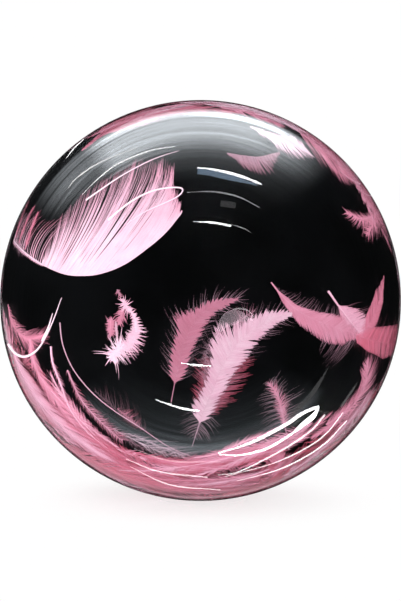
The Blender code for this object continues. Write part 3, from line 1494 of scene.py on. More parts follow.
    def crown_feathers(self) -> Plumage:
        """The pale feather and the small mauve one near the top, and the ones along the upper edge."""
        pale = Feather(
            self.path((247, 868), (317, 838), (392, 803), (461, 778), (516, 773)),
            vane(
                (0.0, 5, 5, 40), (0.22, 15, 15, 50), (0.5, 22, 24, 60), (0.8, 19, 21, 72), (1.0, 10, 14, 90),
            ),
            tint=1.0, dye_and_painted_shade=0.04, fluff=0.6, fade=0.1,
        )
        mauve = Feather(
            self.path((134, 735), (212, 722), (297, 716), (394, 739)),
            vane((0.0, 1, 5, 60), (0.2, 1, 21, 74), (0.5, 1, 24, 90), (0.8, 1, 13, 108), (1.0, 1, 4, 122)),
            tint=0.72, dye_and_painted_shade=0.55, fluff=0.25, fade=0.1,
        )
        edge = Feather(
            self.path((500, 830), (620, 746), (720, 650), (800, 550), (865, 440), (910, 335)),
            vane(
                (0.0, 50, 46, 55), (0.25, 60, 42, 52), (0.4, 54, 24, 48), (0.5, 44, 8, 44), (0.75, 38, 5, 40),
                (1.0, 26, 4, 35),
            ),
            tint=0.55, fluff=0.4, fade=0.15,
        )
        # Painted light: its colour is made brighter than its dye, where the upper outline gets little light
        # through the film.
        outer = Feather(
            self.path((-100, 985), (120, 980), (320, 930), (500, 850)),
            plain_vane(26 * MM, 30, 0.02), tint=1.0, dye_and_painted_shade=-0.2, fluff=0.3, fade=0.0,
        )
        crest = Feather(
            self.path((-591, 748), (-511, 813), (-401, 868), (-252, 918), (-42, 958)),
            vane((0.0, 6, 6, 40), (0.4, 28, 28, 34), (1.0, 20, 20, 24)),
            tint=0.34, fluff=0.6, fade=0.0,
        )
        spikes = [
            Feather(places, plain_vane(2 * MM, 30, 0.02), tint=0.75, shaft=0.0009)
            for places in (
                self.path((850, 519), (825, 529), (781, 559)),
                self.path((796, 579), (751, 603), (691, 648)),
            )
        ]
        feathers = [pale, mauve, edge, outer, crest, *spikes]
        return Plumage("crown_feathers", 0.0006, 0.0016, 7, 0.004, 0.8, 17, feathers)

    def side_tufts(self) -> Plumage:
        """The small tufts at both sides, and the plume that rises at the lower right."""
        star = Feather(
            self.path((900, 459), (855, 419), (800, 409), (731, 439)),
            vane((0.0, 14, 10, 80), (0.35, 20, 8, 64), (0.7, 17, 7, 46), (1.0, 8, 5, 20)),
            tint=0.52, fluff=1.4, curl=0.0, fade=0.15,
        )
        foot = Feather(
            self.path((870, 434), (860, 384), (830, 329)),
            plain_vane(12 * MM, 42, 0.02), tint=0.5, fluff=1.3, curl=0.0,
        )
        left = [
            Feather(places, plain_vane(9 * MM, 28, 0.02), tint=0.4, fluff=0.9, curl=0.0)
            for places in (
                self.path((-920, 314), (-900, 394), (-860, 489)),
                self.path((-905, 289), (-875, 379), (-835, 459)),
                self.path((-875, 254), (-850, 339), (-815, 429)),
            )
        ]
        whiskers = Feather(
            self.path((-885, 249), (-915, 284)),
            burst(8 * MM), tint=0.8, dye_and_painted_shade=0.62, fluff=1.2, curl=0.0, fade=0.1,
        )
        plume = Feather(
            self.path((626, -618), (721, -559), (786, -489), (825, -409), (830, -309)),
            vane((0.0, 14, 14, 60), (0.3, 24, 28, 52), (0.7, 22, 26, 44), (1.0, 8, 8, 20)),
            tint=0.55, fluff=0.5,
        )
        return Plumage("side_tufts", 0.0006, 0.0010, 6, 0.003, 0.8, 19, [star, foot, *left, whiskers, plume])

    def bent_quills(self) -> Plumage:
        """The bare hooked quills at the left, with the vane inside their bend."""
        thin = plain_vane(1.5 * MM, 40)
        hook = Feather(
            self.path(
                (-955, -219), (-920, -264), (-870, -279), (-815, -247), (-768, -175), (-728, -85), (-693, 11),
            ),
            thin, tint=0.95, shaft=0.0020, depth=0.0,
        )
        prong = Feather(
            self.path((-786, -200), (-758, -135), (-737, -65)),
            thin, tint=1.0, shaft=0.0020, depth=0.0,
        )
        inside = Feather(
            self.path((-960, -20), (-935, -120), (-870, -190), (-781, -175)),
            plain_vane(18 * MM, 34, 0.02), tint=0.45, fluff=0.7, curl=0.3, fade=0.1,
        )
        return Plumage("bent_quills", 0.0008, 0.0008, 5, 0.004, 0.5, 23, [hook, prong, inside])

    def low_fan(self) -> Plumage:
        """The downy fan at the lower right."""
        fan = Feather(
            self.path((441, -743), (416, -603), (387, -484), (347, -419)),
            vane(
                (0.0, 0, 0, 60), (0.36, 0, 0, 60), (0.42, 4, 6, 66), (0.65, 6, 10, 54), (0.85, 6, 8, 40),
                (1.0, 5, 5, 20),
            ),
            tint=0.62, dye_and_painted_shade=0.28, fluff=1.1, fade=0.1, shaft=0.0007,
        )
        return Plumage("low_fan", 0.0006, 0.0010, 7, 0.005, 0.8, 29, [fan])

    def low_arcs(self) -> Plumage:
        """The long thin feathers that run along the bed's edge at the lower left."""
        outer = Feather(
            self.path(
                (-701, -110), (-687, -219), (-637, -339), (-546, -454), (-436, -546), (-302, -633),
                (-152, -733), (-30, -783),
            ),
            plain_vane(1.5 * MM, 26, 0.1), tint=0.75, dye_and_painted_shade=0.3, fluff=1.2, fade=0.2, shaft=0.0007,
        )
        quill = Feather(
            self.path((-746, -229), (-737, -309), (-696, -419), (-656, -529), (-581, -638), (-461, -738)),
            plain_vane(7 * MM, 30, 0.05), tint=0.7, fluff=0.9, fade=0.2, shaft=0.0013,
        )
        comb = Feather(
            self.path((-664, -347), (-631, -424), (-591, -501), (-511, -592), (-392, -698)),
            vane((0.0, 3, 5, 40), (0.4, 10, 7, 52), (1.0, 12, 9, 60)),
            tint=0.6, dye_and_painted_shade=0.3, fluff=0.9, fade=0.35, shaft=0.0009,
        )
        right = Feather(
            self.path((-30, -783), (87, -763), (217, -703), (347, -658), (446, -608)),
            plain_vane(9 * MM, 28, 0.05), tint=0.6, fluff=0.6, fade=0.2, shaft=0.0008,
        )
        return Plumage("low_arcs", 0.0008, 0.0007, 7, 0.0045, 0.7, 31, [outer, quill, comb, right])

    def down(self) -> Plumage:
        """The thin grey down over the arcs at the lower left and between the two upright feathers."""
        spray = Feather(
            self.path((-416, -539), (-357, -589), (-292, -643)),
            vane((0.0, 3, 3, 60), (0.45, 15, 9, 84), (1.0, 3, 4, 110)),
            tint=0.5, dye_and_painted_shade=0.35, fluff=1.6, curl=0.0, fade=0.5, shaft=0.0001, depth=0.0006,
        )
        haze = Feather(
            self.path((-526, -454), (-436, -534), (-337, -613), (-252, -668)),
            vane((0.0, 5, 2, 120), (0.35, 16, 6, 122), (0.65, 22, 8, 128), (1.0, 6, 4, 110)),
            tint=0.7, dye_and_painted_shade=0.86, fluff=1.6, curl=-0.2, fade=0.3, shaft=0.0001, depth=0.0009,
        )
        lower = Feather(
            self.path((-362, -663), (-262, -703), (-142, -753), (-17, -803)),
            vane((0.0, 5, 6, 40), (0.5, 9, 12, 28), (1.0, 6, 7, 20)),
            tint=0.9, dye_and_painted_shade=0.55, fluff=1.8, curl=0.2, fade=0.2, shaft=0.0001, depth=0.0006,
        )
        loop = Feather(
            self.path((157, -150), (212, -90), (267, -55)),
            plain_vane(12 * MM, 70, 0.1), tint=0.7, dye_and_painted_shade=0.5, fluff=1.8, curl=0.0, fade=0.2, shaft=0.0001,
            depth=0.0012,
        )
        between = Feather(
            self.path((57, -190), (27, -274), (22, -389)),
            plain_vane(11 * MM, 70, 0.1), tint=0.8, dye_and_painted_shade=0.7, fluff=1.8, curl=0.0, fade=0.2, shaft=0.0001,
            depth=0.0012,
        )
        under = Feather(
            self.path((-561, -499), (-451, -633), (-322, -723), (-192, -778)),
            plain_vane(11 * MM, 60, 0.1), tint=0.7, dye_and_painted_shade=0.72, fluff=1.8, curl=0.0, fade=0.1, shaft=0.0001,
            depth=0.0012,
        )
        feathers = [spray, haze, lower, loop, between, under]
        return Plumage("thin_down", 0.0009, 0.00045, 7, 0.004, 0.3, 41, feathers)

    def rim_feathers(self) -> Plumage:
        """The broad feathers along the lower left rim, and two that close the bed's edge at both sides."""
        pale = Feather(
            self.path((-940, -224), (-880, -379), (-776, -534), (-626, -678), (-481, -778)),
            plain_vane(38 * MM, 34, 0.03), tint=0.72, fluff=0.3, curl=0.2, fade=0.25, shaft=0.0007, depth=0.0,
        )
        # Painted light: its colour is made brighter than its dye, where the lower outline gets little light.
        rosy = Feather(
            self.path((-711, -688), (-571, -788), (-426, -853), (-262, -908), (-52, -938)),
            plain_vane(46 * MM, 30, 0.03), tint=0.24, dye_and_painted_shade=-0.1, fluff=0.4, fade=0.0, shaft=0.0006, depth=0.0,
        )
        inner = Feather(
            self.path((-850, -190), (-830, -309), (-761, -439), (-661, -579), (-511, -718)),
            vane((0.0, 12, 10, 34), (0.3, 16, 20, 34), (1.0, 20, 20, 30)),
            tint=0.56, fluff=0.8, fade=0.2, shaft=0.0006,
        )
        wisp = Feather(
            self.path((746, -519), (666, -613), (561, -678)),
            plain_vane(12 * MM, 40, 0.05), tint=0.56, fluff=1.0, fade=0.2, shaft=0.0006,
        )
        return Plumage("rim_feathers", 0.0010, 0.0022, 7, 0.0045, 0.5, 43, [pale, rosy, inner, wisp])


@dataclass
class LooseFeathers:
    """The feathers that nobody placed: the bed, the upper edge's band and the strays behind.

    Args:
        bed: The bed and its edge.
        seed: The seed of their places.
        bed_count: How many feathers the bed has.
        bed_parts: How many pieces the bed is made in.
        fringe_count: How many feathers lie along the bed's upper edge.
        band_count: How many lie along the ball's upper edge.
        stray_count: How many lie singly over the back.
    """

    bed: FeatherBed
    seed: int = 41
    bed_count: int = 424
    bed_parts: int = 4
    fringe_count: int = 110
    band_count: int = 44
    stray_count: int = 34

    # Heights as shares of the ball's radius: how far above and below the bed's edge a fringe feather's
    # middle lies, how far it may rise above the edge, and how far below it the bed's feathers stay
    FRINGE_ABOVE, FRINGE_BELOW, FRINGE_RISE = 0.03, 0.16, 0.03
    BED_MIDDLE, BED_DROP = 0.06, 0.03
    # The band: its angles along the outline, from the right, and away from the line of sight, in degrees
    BAND_TURNS, BAND_LEANS = (28, 118), (74, 104)
    # How far behind the ball's middle the strays start
    BACK = 0.12

    def __post_init__(self) -> None:
        """Starts the chances."""
        self.chance = random.Random(self.seed)

    def spot(self) -> Vector:
        """Draws a direction, evenly over the sphere."""
        height = self.chance.uniform(-1, 1)
        return towards(self.chance.uniform(-math.pi, math.pi), height)

    def path(
        self, spot: Vector, side: int, turn: float, lengths: tuple[float, float], bend: float
    ) -> tuple[Vector, ...]:
        """Draws a feather's way through a spot.

        Args:
            spot: Its middle.
            side: 1 or -1, the way round the ball's outline that it takes.
            turn: How far it turns away from the outline's run, in radians.
            lengths: The shortest and the longest that it can be.
            bend: How much it may bend.

        Returns:
            Unit directions from one end to the other.
        """
        heading = Matrix.Rotation(turn, 3, spot) @ (across_front(spot) * side)
        return wander(spot, heading, self.chance.uniform(*lengths), self.chance.gauss(0, bend))

    def fringe(self) -> Plumage:
        """Draws the long thin feathers that lie along the bed's upper edge."""
        chance, feathers = self.chance, []
        while len(feathers) < self.fringe_count:
            spot = self.spot()
            if not -self.FRINGE_ABOVE < self.bed.edge_at(spot) - spot.z < self.FRINGE_BELOW:
                continue
            path = self.path(spot, chance.choice((-1, 1)), chance.gauss(0, 0.2), (0.35, 0.65), 0.3)
            if self.bed.overtopped_by(path, self.FRINGE_RISE) or self.bed.opened_by(path):
                continue
            feathers.append(Feather(
                path,
                plain_vane(chance.uniform(0.010, 0.022), chance.uniform(24, 40), 0.05),
                tint=chance.choice((0.3, 0.5, 0.7)),
                fluff=chance.uniform(0.3, 0.8),
                fade=0.25,
                depth=chance.uniform(0.0, 0.001),
            ))
        return Plumage("bed_fringe", 0.0019, 0.0016, 5, 0.005, 0.7, 47, feathers)

    def bed_feather(self) -> Feather:
        """Draws a feather that lies wholly below the bed's edge."""
        chance = self.chance
        while True:
            spot = self.spot()
            if self.bed.edge_at(spot) - spot.z < self.BED_MIDDLE:
                continue
            path = self.path(spot, chance.choice((-1, 1)), chance.gauss(0, 0.35), (0.26, 0.50), 0.5)
            if not self.bed.overtopped_by(path, -self.BED_DROP) and not self.bed.opened_by(path):
                break
        deep = self.bed.thickness_at(spot) * chance.uniform(0.0, 1.0)
        return Feather(
            path,
            plain_vane(chance.uniform(0.018, 0.032), chance.uniform(32, 55)),
            tint=chance.choice((0.15, 0.3, 0.45, 0.6, 0.72)),
            fluff=chance.uniform(0.3, 0.9),
            curl=chance.uniform(0.0, 0.25),
            depth=deep,
            sag=0.003 if deep > 0 else 0.0,
        )

    def bed_sets(self) -> list[Plumage]:
        """Draws the bed's feathers, shared out over a few pieces."""
        sets = []
        for part in range(self.bed_parts):
            name = f"feather_bed_{part + 1}"
            feathers = [self.bed_feather() for _ in range(self.bed_count // self.bed_parts)]
            sets.append(Plumage(name, 0.0022, 0.0044, 5, 0.006, 0.6, 50 + part, feathers))
        return sets

    def band(self) -> Plumage:
        """Draws the feathers that lie along the ball's upper edge and just behind it."""
        chance, feathers = self.chance, []
        for _ in range(self.band_count):
            turn = math.radians(chance.uniform(*self.BAND_TURNS))
            lean = math.radians(chance.uniform(*self.BAND_LEANS))
            spot = Vector((math.cos(turn) * math.sin(lean), -math.cos(lean), math.sin(turn) * math.sin(lean)))
            feathers.append(Feather(
                self.path(spot, 1, chance.gauss(0, 0.2), (0.3, 0.5), 0.2),
                plain_vane(chance.uniform(0.012, 0.022), 40),
                tint=chance.choice((0.35, 0.6, 0.9)),
                fluff=0.6,
            ))
        return Plumage("upper_band", 0.0017, 0.0028, 5, 0.005, 0.6, 61, feathers)

    def strays(self) -> Plumage:
        """Draws the single feathers over the sides and the back, clear of the front."""
        chance, feathers = self.chance, []
        while len(feathers) < self.stray_count:
            spot = self.spot()
            if spot.y < self.BACK or spot.z < self.bed.edge_at(spot):
                continue
            feathers.append(Feather(
                self.path(spot, 1, chance.uniform(-math.pi, math.pi), (0.2, 0.5), 0.5),
                plain_vane(chance.uniform(0.012, 0.026), chance.uniform(35, 60)),
                tint=chance.choice((0.3, 0.6, 0.75, 0.9)),
                fluff=chance.uniform(0.2, 0.9),
            ))
        return Plumage("stray_feathers", 0.0011, 0.0014, 6, 0.005, 0.8, 67, feathers)


@dataclass(frozen=True)
class Streak:
    """A narrow lamp, given by the line that it draws in the film's mirror image.

    Args:
        path: The line's marks.
        width: The line's width half-way, as a share of the ball's radius.
        glow: The lamp's brightness.
        ends: How wide its first and its last end are, as shares of its width.
        colour: The lamp's colour.
    """

    path: tuple[Mark, ...]
    width: float
    glow: float
    ends: tuple[float, float] = (1.0, 1.0)
    colour: Colour = (1.0, 1.0, 1.0)


@dataclass(frozen=True)
class Ring:
    """A broad lamp that the film mirrors along a part of a ring round the picture's middle.

    Args:
        levels: (distance from the middle, brightness) pairs.
        reach: The ring's inner and outer edge.
        turns: The angles at which it starts and ends, in degrees.
        cuts: How many faces it has outwards and round.
        colour: The lamp's colour.
        fullness: How soon it reaches its full brightness from either end.
    """

    levels: Table
    reach: tuple[float, float]
    turns: tuple[float, float]
    cuts: tuple[int, int]
    colour: Colour
    fullness: float = 1.0


@dataclass
class Studio:
    """The pale floor, the soft light and the lamps that the film mirrors.

    Args:
        view: The camera.
        streak_distance: How far the narrow mirrored lamps stand from the film.
        broad_distance: How far the broad ones behind them stand.
        floor_radius: The floor's radius.
        floor_shade: The floor's grey.
        floor_opacity: How much of the floor shows in its middle.
        floor_fade: Where it starts and ends to fade out, from its middle.
        floor_drop: How far it lies under the ball.
        soft_world: How bright the surroundings are for the feathers.
        dark_world: How bright they are in the film's mirror image.
        streak_cuts: How many pieces each stretch of a narrow lamp has.
        softbox: The overhead softbox.
        low_glow: The weak light along the lower right.
        rim_glow: The rosy light close to the outline.
        streaks: The narrow lamps.
    """

    view: Viewpoint
    streak_distance: float = 1.4
    broad_distance: float = 1.8
    floor_radius: float = 0.5
    floor_shade: float = 0.93
    floor_opacity: float = 0.28
    floor_fade: tuple[float, float] = (0.02, 0.24)
    floor_drop: float = 0.0004
    soft_world: float = 0.45
    dark_world: float = 0.004
    streak_cuts: int = 8
    softbox: Ring = Ring(
        (
            (0.60, 0.0), (0.65, 0.2), (0.70, 0.45), (0.75, 1.15), (0.80, 3.1), (0.84, 4.4), (0.90, 3.0),
            (0.945, 2.2), (0.955, 0.2), (0.96, 0.0),
        ),
        (0.60, 0.96), (40, 160), (90, 60), (0.90, 0.95, 1.0),
    )
    low_glow: Ring = Ring(
        ((0.45, 0.0), (0.55, 0.12), (0.65, 0.22), (0.71, 0.6), (0.74, 1.6), (0.765, 0.9), (0.78, 0.0)),
        (0.45, 0.78), (215, 325), (40, 32), (0.82, 0.92, 1.0),
    )
    rim_glow: Ring = Ring(
        ((0.90, 0.0), (0.93, 0.08), (0.955, 0.18), (0.975, 0.28), (0.988, 0.34)),
        (0.90, 0.988), (180, 334), (40, 32), (1.0, 0.80, 0.87), 5.0,
    )
    streaks: tuple[Streak, ...] = (
        Streak((
            (-17, 662), (42, 657), (102, 646), (157, 633), (207, 618), (257, 600), (302, 580),
        ), 0.013, 30.0, (0.4, 0.6)),
        Streak((
            (-15, 646), (42, 638), (102, 624), (157, 611), (217, 595), (282, 577),
        ), 0.028, 2.6, (1.0, 0.3), (0.55, 0.75, 1.0)),
        Streak(((-70, 539), (60, 543), (185, 519), (294, 464)), 0.006, 5.0, (0.3, 0.6)),
        Streak(((100, 485), (175, 475)), 0.03, 0.5),
        Streak(((-37, 394), (60, 389), (155, 372)), 0.010, 30.0, (0.3, 0.8)),
        Streak(((155, 380), (210, 362), (250, 340)), 0.004, 6.0, (0.5, 0.5)),
        Streak(((-97, -312), (-20, -323), (55, -327)), 0.010, 30.0, (0.4, 0.4)),
        Streak(((100, -100), (137, -60), (187, -40), (237, -50), (267, -85)), 0.007, 3.5, (0.3, 0.3)),
        Streak(((90, -150), (130, -100), (190, -80), (265, -100)), 0.075, 2.4, (0.4, 0.1), (1.0, 0.8, 0.9)),
        Streak(((-224, -494), (-125, -529), (-50, -546), (-5, -551)), 0.012, 30.0, (0.4, 0.7)),
        Streak(((87, -762), (250, -710), (424, -620), (510, -562), (590, -528)), 0.017, 22.0, (0.35, 0.8)),
        Streak(((590, -528), (565, -575), (510, -620), (450, -670)), 0.024, 22.0, (0.6, 0.3)),
        Streak(((510, -620), (446, -671), (332, -738), (197, -771), (95, -768)), 0.010, 22.0, (0.8, 0.5)),
        Streak(((446, -582), (560, -460), (640, -330)), 0.022, 0.5, (1.0, 0.1)),
        Streak(((700, -530), (750, -460), (783, -408)), 0.010, 0.5, (1.0, 0.2)),
        Streak(((710, -560), (640, -650), (549, -723), (374, -808), (125, -878)), 0.007, 5.0, (0.5, 0.4)),
        Streak(((730, -600), (600, -730), (400, -840), (180, -900)), 0.006, 5.0, (0.6, 0.3)),
        Streak(((620, -570), (550, -650), (400, -750), (200, -850), (90, -870)), 0.008, 6.0, (1.0, 0.3)),
        Streak(((-374, -790), (-200, -855), (35, -882)), 0.007, 4.0, (0.3, 0.8)),
        Streak(((-350, -830), (-150, -920), (100, -945)), 0.006, 3.0, (0.3, 0.5)),
        Streak(((-330, -740), (-150, -800), (100, -805)), 0.006, 2.0, (0.3, 0.5)),
        Streak(((-590, 529), (-500, 618), (-400, 688), (-250, 748), (-127, 768)), 0.007, 9.0, (0.3, 0.5)),
        Streak(((-666, 554), (-616, 613), (-500, 690), (-317, 763)), 0.007, 5.0, (0.3, 0.5)),
        Streak(((-672, 708), (-630, 760), (-582, 805)), 0.004, 3.0, (0.5, 0.5)),
    )

    # The softbox's angles in degrees: it brightens, dips and dies out, and its streaks get stronger
    RISE, DIP, FALL, ROUGHEN = (44, 76), (119, 130), (136, 154), (95, 130)
    # The bright line near its edge: its inner and outer side, and where it brightens, dips and dies out
    LINE_IN, LINE_OUT = (0.914, 0.924), (0.936, 0.945)
    LINE_RISE, LINE_DIP, LINE_FALL = (57, 66), (82, 98), (112, 124)
    LINE_GLOW = 3.6
    # Its coarse and fine streaks: how dense they are outwards and round, where they are cut, their share
    SOFTBOX_GRAIN = ((95, 0.9, 3.0, 1.0), (210, 1.3, 8.0, 0.5))
    # The same for the weak rings
    GLOW_GRAIN = ((80, 1.0, 5.0, 1.0),)

    def build(self) -> None:
        """Adds the floor, the world, the lights and the mirrored lamps."""
        self._floor()
        self._world()
        self._lights()
        self._ring("overhead_softbox", self.softbox, self._softbox_level)
        self._ring("low_glow", self.low_glow, self._glow_level)
        self._ring("rim_glow", self.rim_glow, self._glow_level)
        for number, streak in enumerate(self.streaks, 1):
            self._streak(f"mirrored_lamp_{number}", streak)
        bpy.context.scene.view_settings.view_transform = "Standard"

    def _floor(self) -> None:
        """Adds a pale disc that fades out towards its edge."""
        shape = bmesh.new()
        bmesh.ops.create_circle(shape, cap_ends=True, segments=96, radius=self.floor_radius)
        material, graph, shader = new_material("floor")
        place = {0: graph.object_place()}
        length = graph.node("ShaderNodeVectorMath", place, operation="LENGTH").outputs["Value"]
        start, end = self.floor_fade
        inputs = {
            "Value": length, "From Min": start, "From Max": end, "To Min": self.floor_opacity, "To Max": 0.0,
        }
        fade = graph.out("ShaderNodeMapRange", inputs, interpolation_type="SMOOTHSTEP")
        colour = (self.floor_shade, self.floor_shade, self.floor_shade, 1.0)
        graph.fill(shader, {"Base Color": colour, "Roughness": 0.9, "Specular IOR Level": 0.0, "Alpha": fade})
        floor = shaped_piece("floor", shape, material)
        floor.location.z = -self.floor_drop
        floor.visible_glossy = False
        floor.visible_transmission = False
        floor.visible_shadow = False

    def _world(self) -> None:
        """Makes the surroundings white to look at, soft on the feathers and dark in the film."""
        world = bpy.data.worlds.new("studio")
        world.use_nodes = True
        bpy.context.scene.world = world
        graph = NodeGraph(world.node_tree)
        path = graph.node("ShaderNodeLightPath").outputs
        seen = graph.math("MAXIMUM", path["Is Camera Ray"], path["Is Transmission Ray"])
        bounced = graph.math("ADD", path["Glossy Depth"], path["Diffuse Depth"])
        seen = graph.product(seen, graph.math("LESS_THAN", bounced, 0.5))
        soft = graph.product(path["Is Diffuse Ray"], self.soft_world)
        level = graph.math("ADD", graph.math("MAXIMUM", seen, soft), self.dark_world)
        white = (1.0, 1.0, 1.0, 1.0)
        graph.fill(world.node_tree.nodes["Background"], {"Color": white, "Strength": level})

    def _lights(self) -> None:
        """Adds the soft lights, which the film doesn't mirror: each one's name, place, size and power."""
        middle = self.view.ball.centre
        for name, place, size, power in (
            ("key_light", Vector((-0.6, -0.8, 2.3)), 2.2, 36.0),
            ("front_light", Vector((0.8, -2.8, 0.8)), 2.0, 54.0),
            ("back_light", Vector((0.2, 1.5, 2.3)), 2.0, 50.0),
            ("low_light", Vector((-1.2, -1.7, -0.5)), 1.6, 40.0),
            ("left_light", Vector((-2.5, 0.1, -0.1)), 1.8, 46.0),
            ("right_light", Vector((2.5, -0.1, 0.3)), 1.8, 40.0),
        ):
            light = bpy.data.lights.new(name, "AREA")
            light.shape = "DISK"
            light.size = size
            light.energy = power
            holder = bpy.data.objects.new(name, light)
            holder.location = place
            holder.rotation_euler = (middle - place).to_track_quat("-Z", "Y").to_euler()
            holder.visible_camera = False
            holder.visible_glossy = False
            holder.visible_transmission = False
            bpy.context.scene.collection.objects.link(holder)

    def _card(
        self, name: str, rows: Sequence[Sequence[tuple[Place, float]]], colour: Colour, distance: float
    ) -> None:
        """Adds a lamp that only the film mirrors.

        Args:
            name: The lamp's name.
            rows: Rows of places as the camera sees them in the film, each with its brightness.
            colour: The lamp's colour.
            distance: How far it stands from the film.
        """
        shape = bmesh.new()
        glow = shape.verts.layers.float.new("glow")
        grid = []
        for row in rows:
            grid.append([])
            for place, level in row:
                spot, onward = self.view.mirrored(place)
                corner = shape.verts.new(spot + onward * distance)
                corner[glow] = level
                grid[-1].append(corner)
        for first, second in zip(grid, grid[1:]):
            for side in range(len(first) - 1):
                shape.faces.new((first[side], first[side + 1], second[side + 1], second[side]))
        material, graph, shader = new_material(name)
        bounced = graph.node("ShaderNodeLightPath").outputs["Glossy Depth"]
        mirrored = graph.math("GREATER_THAN", bounced, 0.5)
        graph.fill(shader, {
            "Base Color": (0.0, 0.0, 0.0, 1.0),
            "Specular IOR Level": 0.0,
            "Emission Color": (*colour, 1.0),
            "Emission Strength": graph.product(graph.mark("glow"), mirrored),
            "Alpha": mirrored,
        })
        material.cycles.emission_sampling = "NONE"
        card = shaped_piece(name, shape, material)
        card.visible_camera = False
        card.visible_diffuse = False
        card.visible_shadow = False

    def _ring(self, name: str, ring: Ring, level: Callable[[Ring, float, float], float]) -> None:
        """Adds one broad mirrored lamp.

        Args:
            name: The lamp's name.
            ring: Its sizes.
            level: Gives its brightness at a distance from the middle and at an angle in degrees.
        """
        rows = []
        (inner, outer), (first, last) = ring.reach, ring.turns
        for step in range(ring.cuts[0] + 1):
            radius = inner + (outer - inner) * step / ring.cuts[0]
            row = []
            for number in range(ring.cuts[1] + 1):
                turn = first + (last - first) * number / ring.cuts[1]
                angle = math.radians(turn)
                place = (radius * math.cos(angle), radius * math.sin(angle))
                row.append((place, max(0.0, level(ring, radius, turn))))
            rows.append(row)
        self._card(name, rows, ring.colour, self.broad_distance)

    def _softbox_level(self, ring: Ring, radius: float, turn: float) -> float:
        """Gives the softbox's brightness: a streaky grey crescent with a sharp bright line near its edge.

        Args:
            ring: The softbox.
            radius: The distance from the picture's middle.
            turn: The angle in degrees.

        Returns:
            The brightness.
        """
        streaks = grained(self.SOFTBOX_GRAIN, radius, math.radians(turn))
        level = blend(ring.levels, radius)
        level *= eased(turn, *self.RISE) * (1 - 0.75 * eased(turn, *self.DIP)) * (1 - eased(turn, *self.FALL))
        level *= 1 + streaks * (0.35 + 0.9 * eased(turn, *self.ROUGHEN))
        line = eased(radius, *self.LINE_IN) * (1 - eased(radius, *self.LINE_OUT))
        line *= eased(turn, *self.LINE_RISE) * (1 - 0.8 * eased(turn, *self.LINE_DIP))
        line *= 1 - eased(turn, *self.LINE_FALL)
        return level + self.LINE_GLOW * line

    def _glow_level(self, ring: Ring, radius: float, turn: float) -> float:
        """Gives a weak ring's brightness, which dies out at both ends.

        Args:
            ring: The ring.
            radius: The distance from the picture's middle.
            turn: The angle in degrees.

        Returns:
            The brightness.
        """
        streaks = grained(self.GLOW_GRAIN, radius, math.radians(turn))
        share = (turn - ring.turns[0]) / (ring.turns[1] - ring.turns[0])
        ends = min(1.0, ring.fullness * math.sin(math.pi * share))
        return blend(ring.levels, radius) * ends * (1 + 0.8 * streaks)

    def _streak(self, name: str, streak: Streak) -> None:
        """Adds one narrow mirrored lamp.

        Args:
            name: The lamp's name.
            streak: The line that it draws.
        """
        knots = [Vector(place) for place in shares(streak.path)]
        places = smooth_curve(knots, lambda *_: self.streak_cuts)
        upper, lower = [], []
        first, last = streak.ends
        for number, spot in enumerate(places):
            share = number / (len(places) - 1)
            before, after = places[max(0, number - 1)], places[min(len(places) - 1, number + 1)]
            run = (after - before).normalized()
            opening = first + (1 - first) * eased(share, 0.0, 0.45)
            closing = 1 - (1 - last) * eased(share, 0.55, 1.0)
            half = streak.width / 2 * opening * closing
            upper.append(((spot.x - run.y * half, spot.y + run.x * half), streak.glow))
            lower.append(((spot.x + run.y * half, spot.y - run.x * half), streak.glow))
        self._card(name, (upper, lower), streak.colour, self.streak_distance)


def shares(marks: Sequence[Mark]) -> list[Place]:
    """Turns marks into places."""
    return [(across / 1000, up / 1000) for across, up in marks]


def grained(grain: Sequence[tuple[float, float, float, float]], radius: float, angle: float) -> float:
    """Adds up the noise of a lamp's streaks at a distance from the middle and at an angle."""
    return sum(
        share * noise.noise(Vector((radius * outwards, angle * round_it, cut)))
        for outwards, round_it, cut, share in grain
    )


def eased(value: float, start: float, end: float) -> float:
    """Rises smoothly from 0 at the start to 1 at the end."""
    share = min(1.0, max(0.0, (value - start) / (end - start)))
    return share * share * (3 - 2 * share)


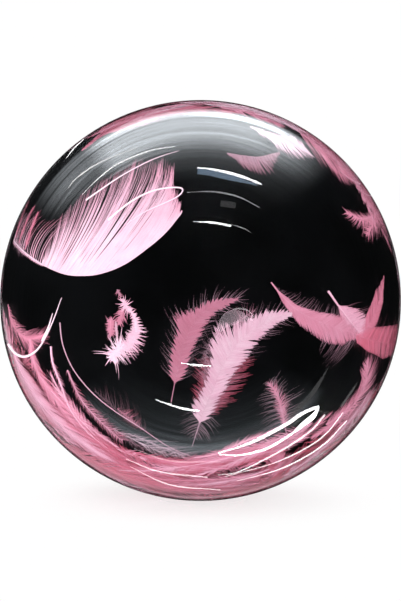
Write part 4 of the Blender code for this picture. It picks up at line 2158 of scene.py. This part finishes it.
def blend(table: Table, spot: float) -> float:
    """Reads a table of (spot, value) pairs, with straight lines between them."""
    for (start, low), (end, high) in zip(table, table[1:]):
        if spot <= end:
            return low + (high - low) * max(0.0, (spot - start) / (end - start))
    return table[-1][1]


def smooth_curve(places: Sequence[Vector], cuts: Callable[[Vector, Vector], int]) -> list[Vector]:
    """Runs a smooth curve through a few places.

    Args:
        places: The places.
        cuts: Says how many pieces the stretch between two of them has.

    Returns:
        The places along the curve.
    """
    knots = [2 * places[0] - places[1], *places, 2 * places[-1] - places[-2]]
    curve = []
    for before, start, end, after in zip(knots, knots[1:], knots[2:], knots[3:]):
        pieces = cuts(start, end)
        for number in range(pieces):
            share = number / pieces
            cube, square = share**3, share**2
            spot = start * (2 * cube - 3 * square + 1) + (end - before) / 2 * (cube - 2 * square + share)
            spot += end * (3 * square - 2 * cube) + (after - start) / 2 * (cube - square)
            curve.append(spot)
    return [*curve, places[-1]]


def dress(piece: bpy.types.Object, slot: Slot) -> None:
    """Makes a piece ride on the balloon and logs how many triangles it has.

    Args:
        piece: The piece.
        slot: The piece's material slot; not used.
    """
    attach(piece, BODY)
    log.info("%s: %d triangles", piece.name, sum(len(face.vertices) - 2 for face in piece.data.polygons))


def main() -> None:
    """Builds the film, the inner balloon, the feathers and the studio."""
    logging.basicConfig(level=logging.INFO, format="%(message)s")
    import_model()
    ball = Ball.from_frame()
    view = Viewpoint(ball)
    view.add_camera()

    marks = StretchMarks()
    film_maker = Film(ball)
    film = film_maker.build(FilmFinish().build(ball, marks))
    film.visible_shadow = False
    film.visible_diffuse = False
    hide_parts(BALLOON_NODE)
    dress(film, Slot.FILM)

    bed = FeatherBed(ball)
    dress(InnerBalloon(ball, bed).build(LatexFinish().build(ball, marks)), Slot.LATEX)

    finish = FeatherFinish().build()
    tree = BarbTree()
    room_depth = film_maker.thickness + FEATHER_PLAY
    loose = LooseFeathers(bed)
    sets = [*FrontFeathers(view).all(), *loose.bed_sets(), loose.fringe(), loose.band(), loose.strays()]
    for plumage in sets:
        dress(plumage.build(ball, room_depth, tree, finish), Slot.FEATHER)

    Studio(view).build()


if __name__ == "__main__":
    main()
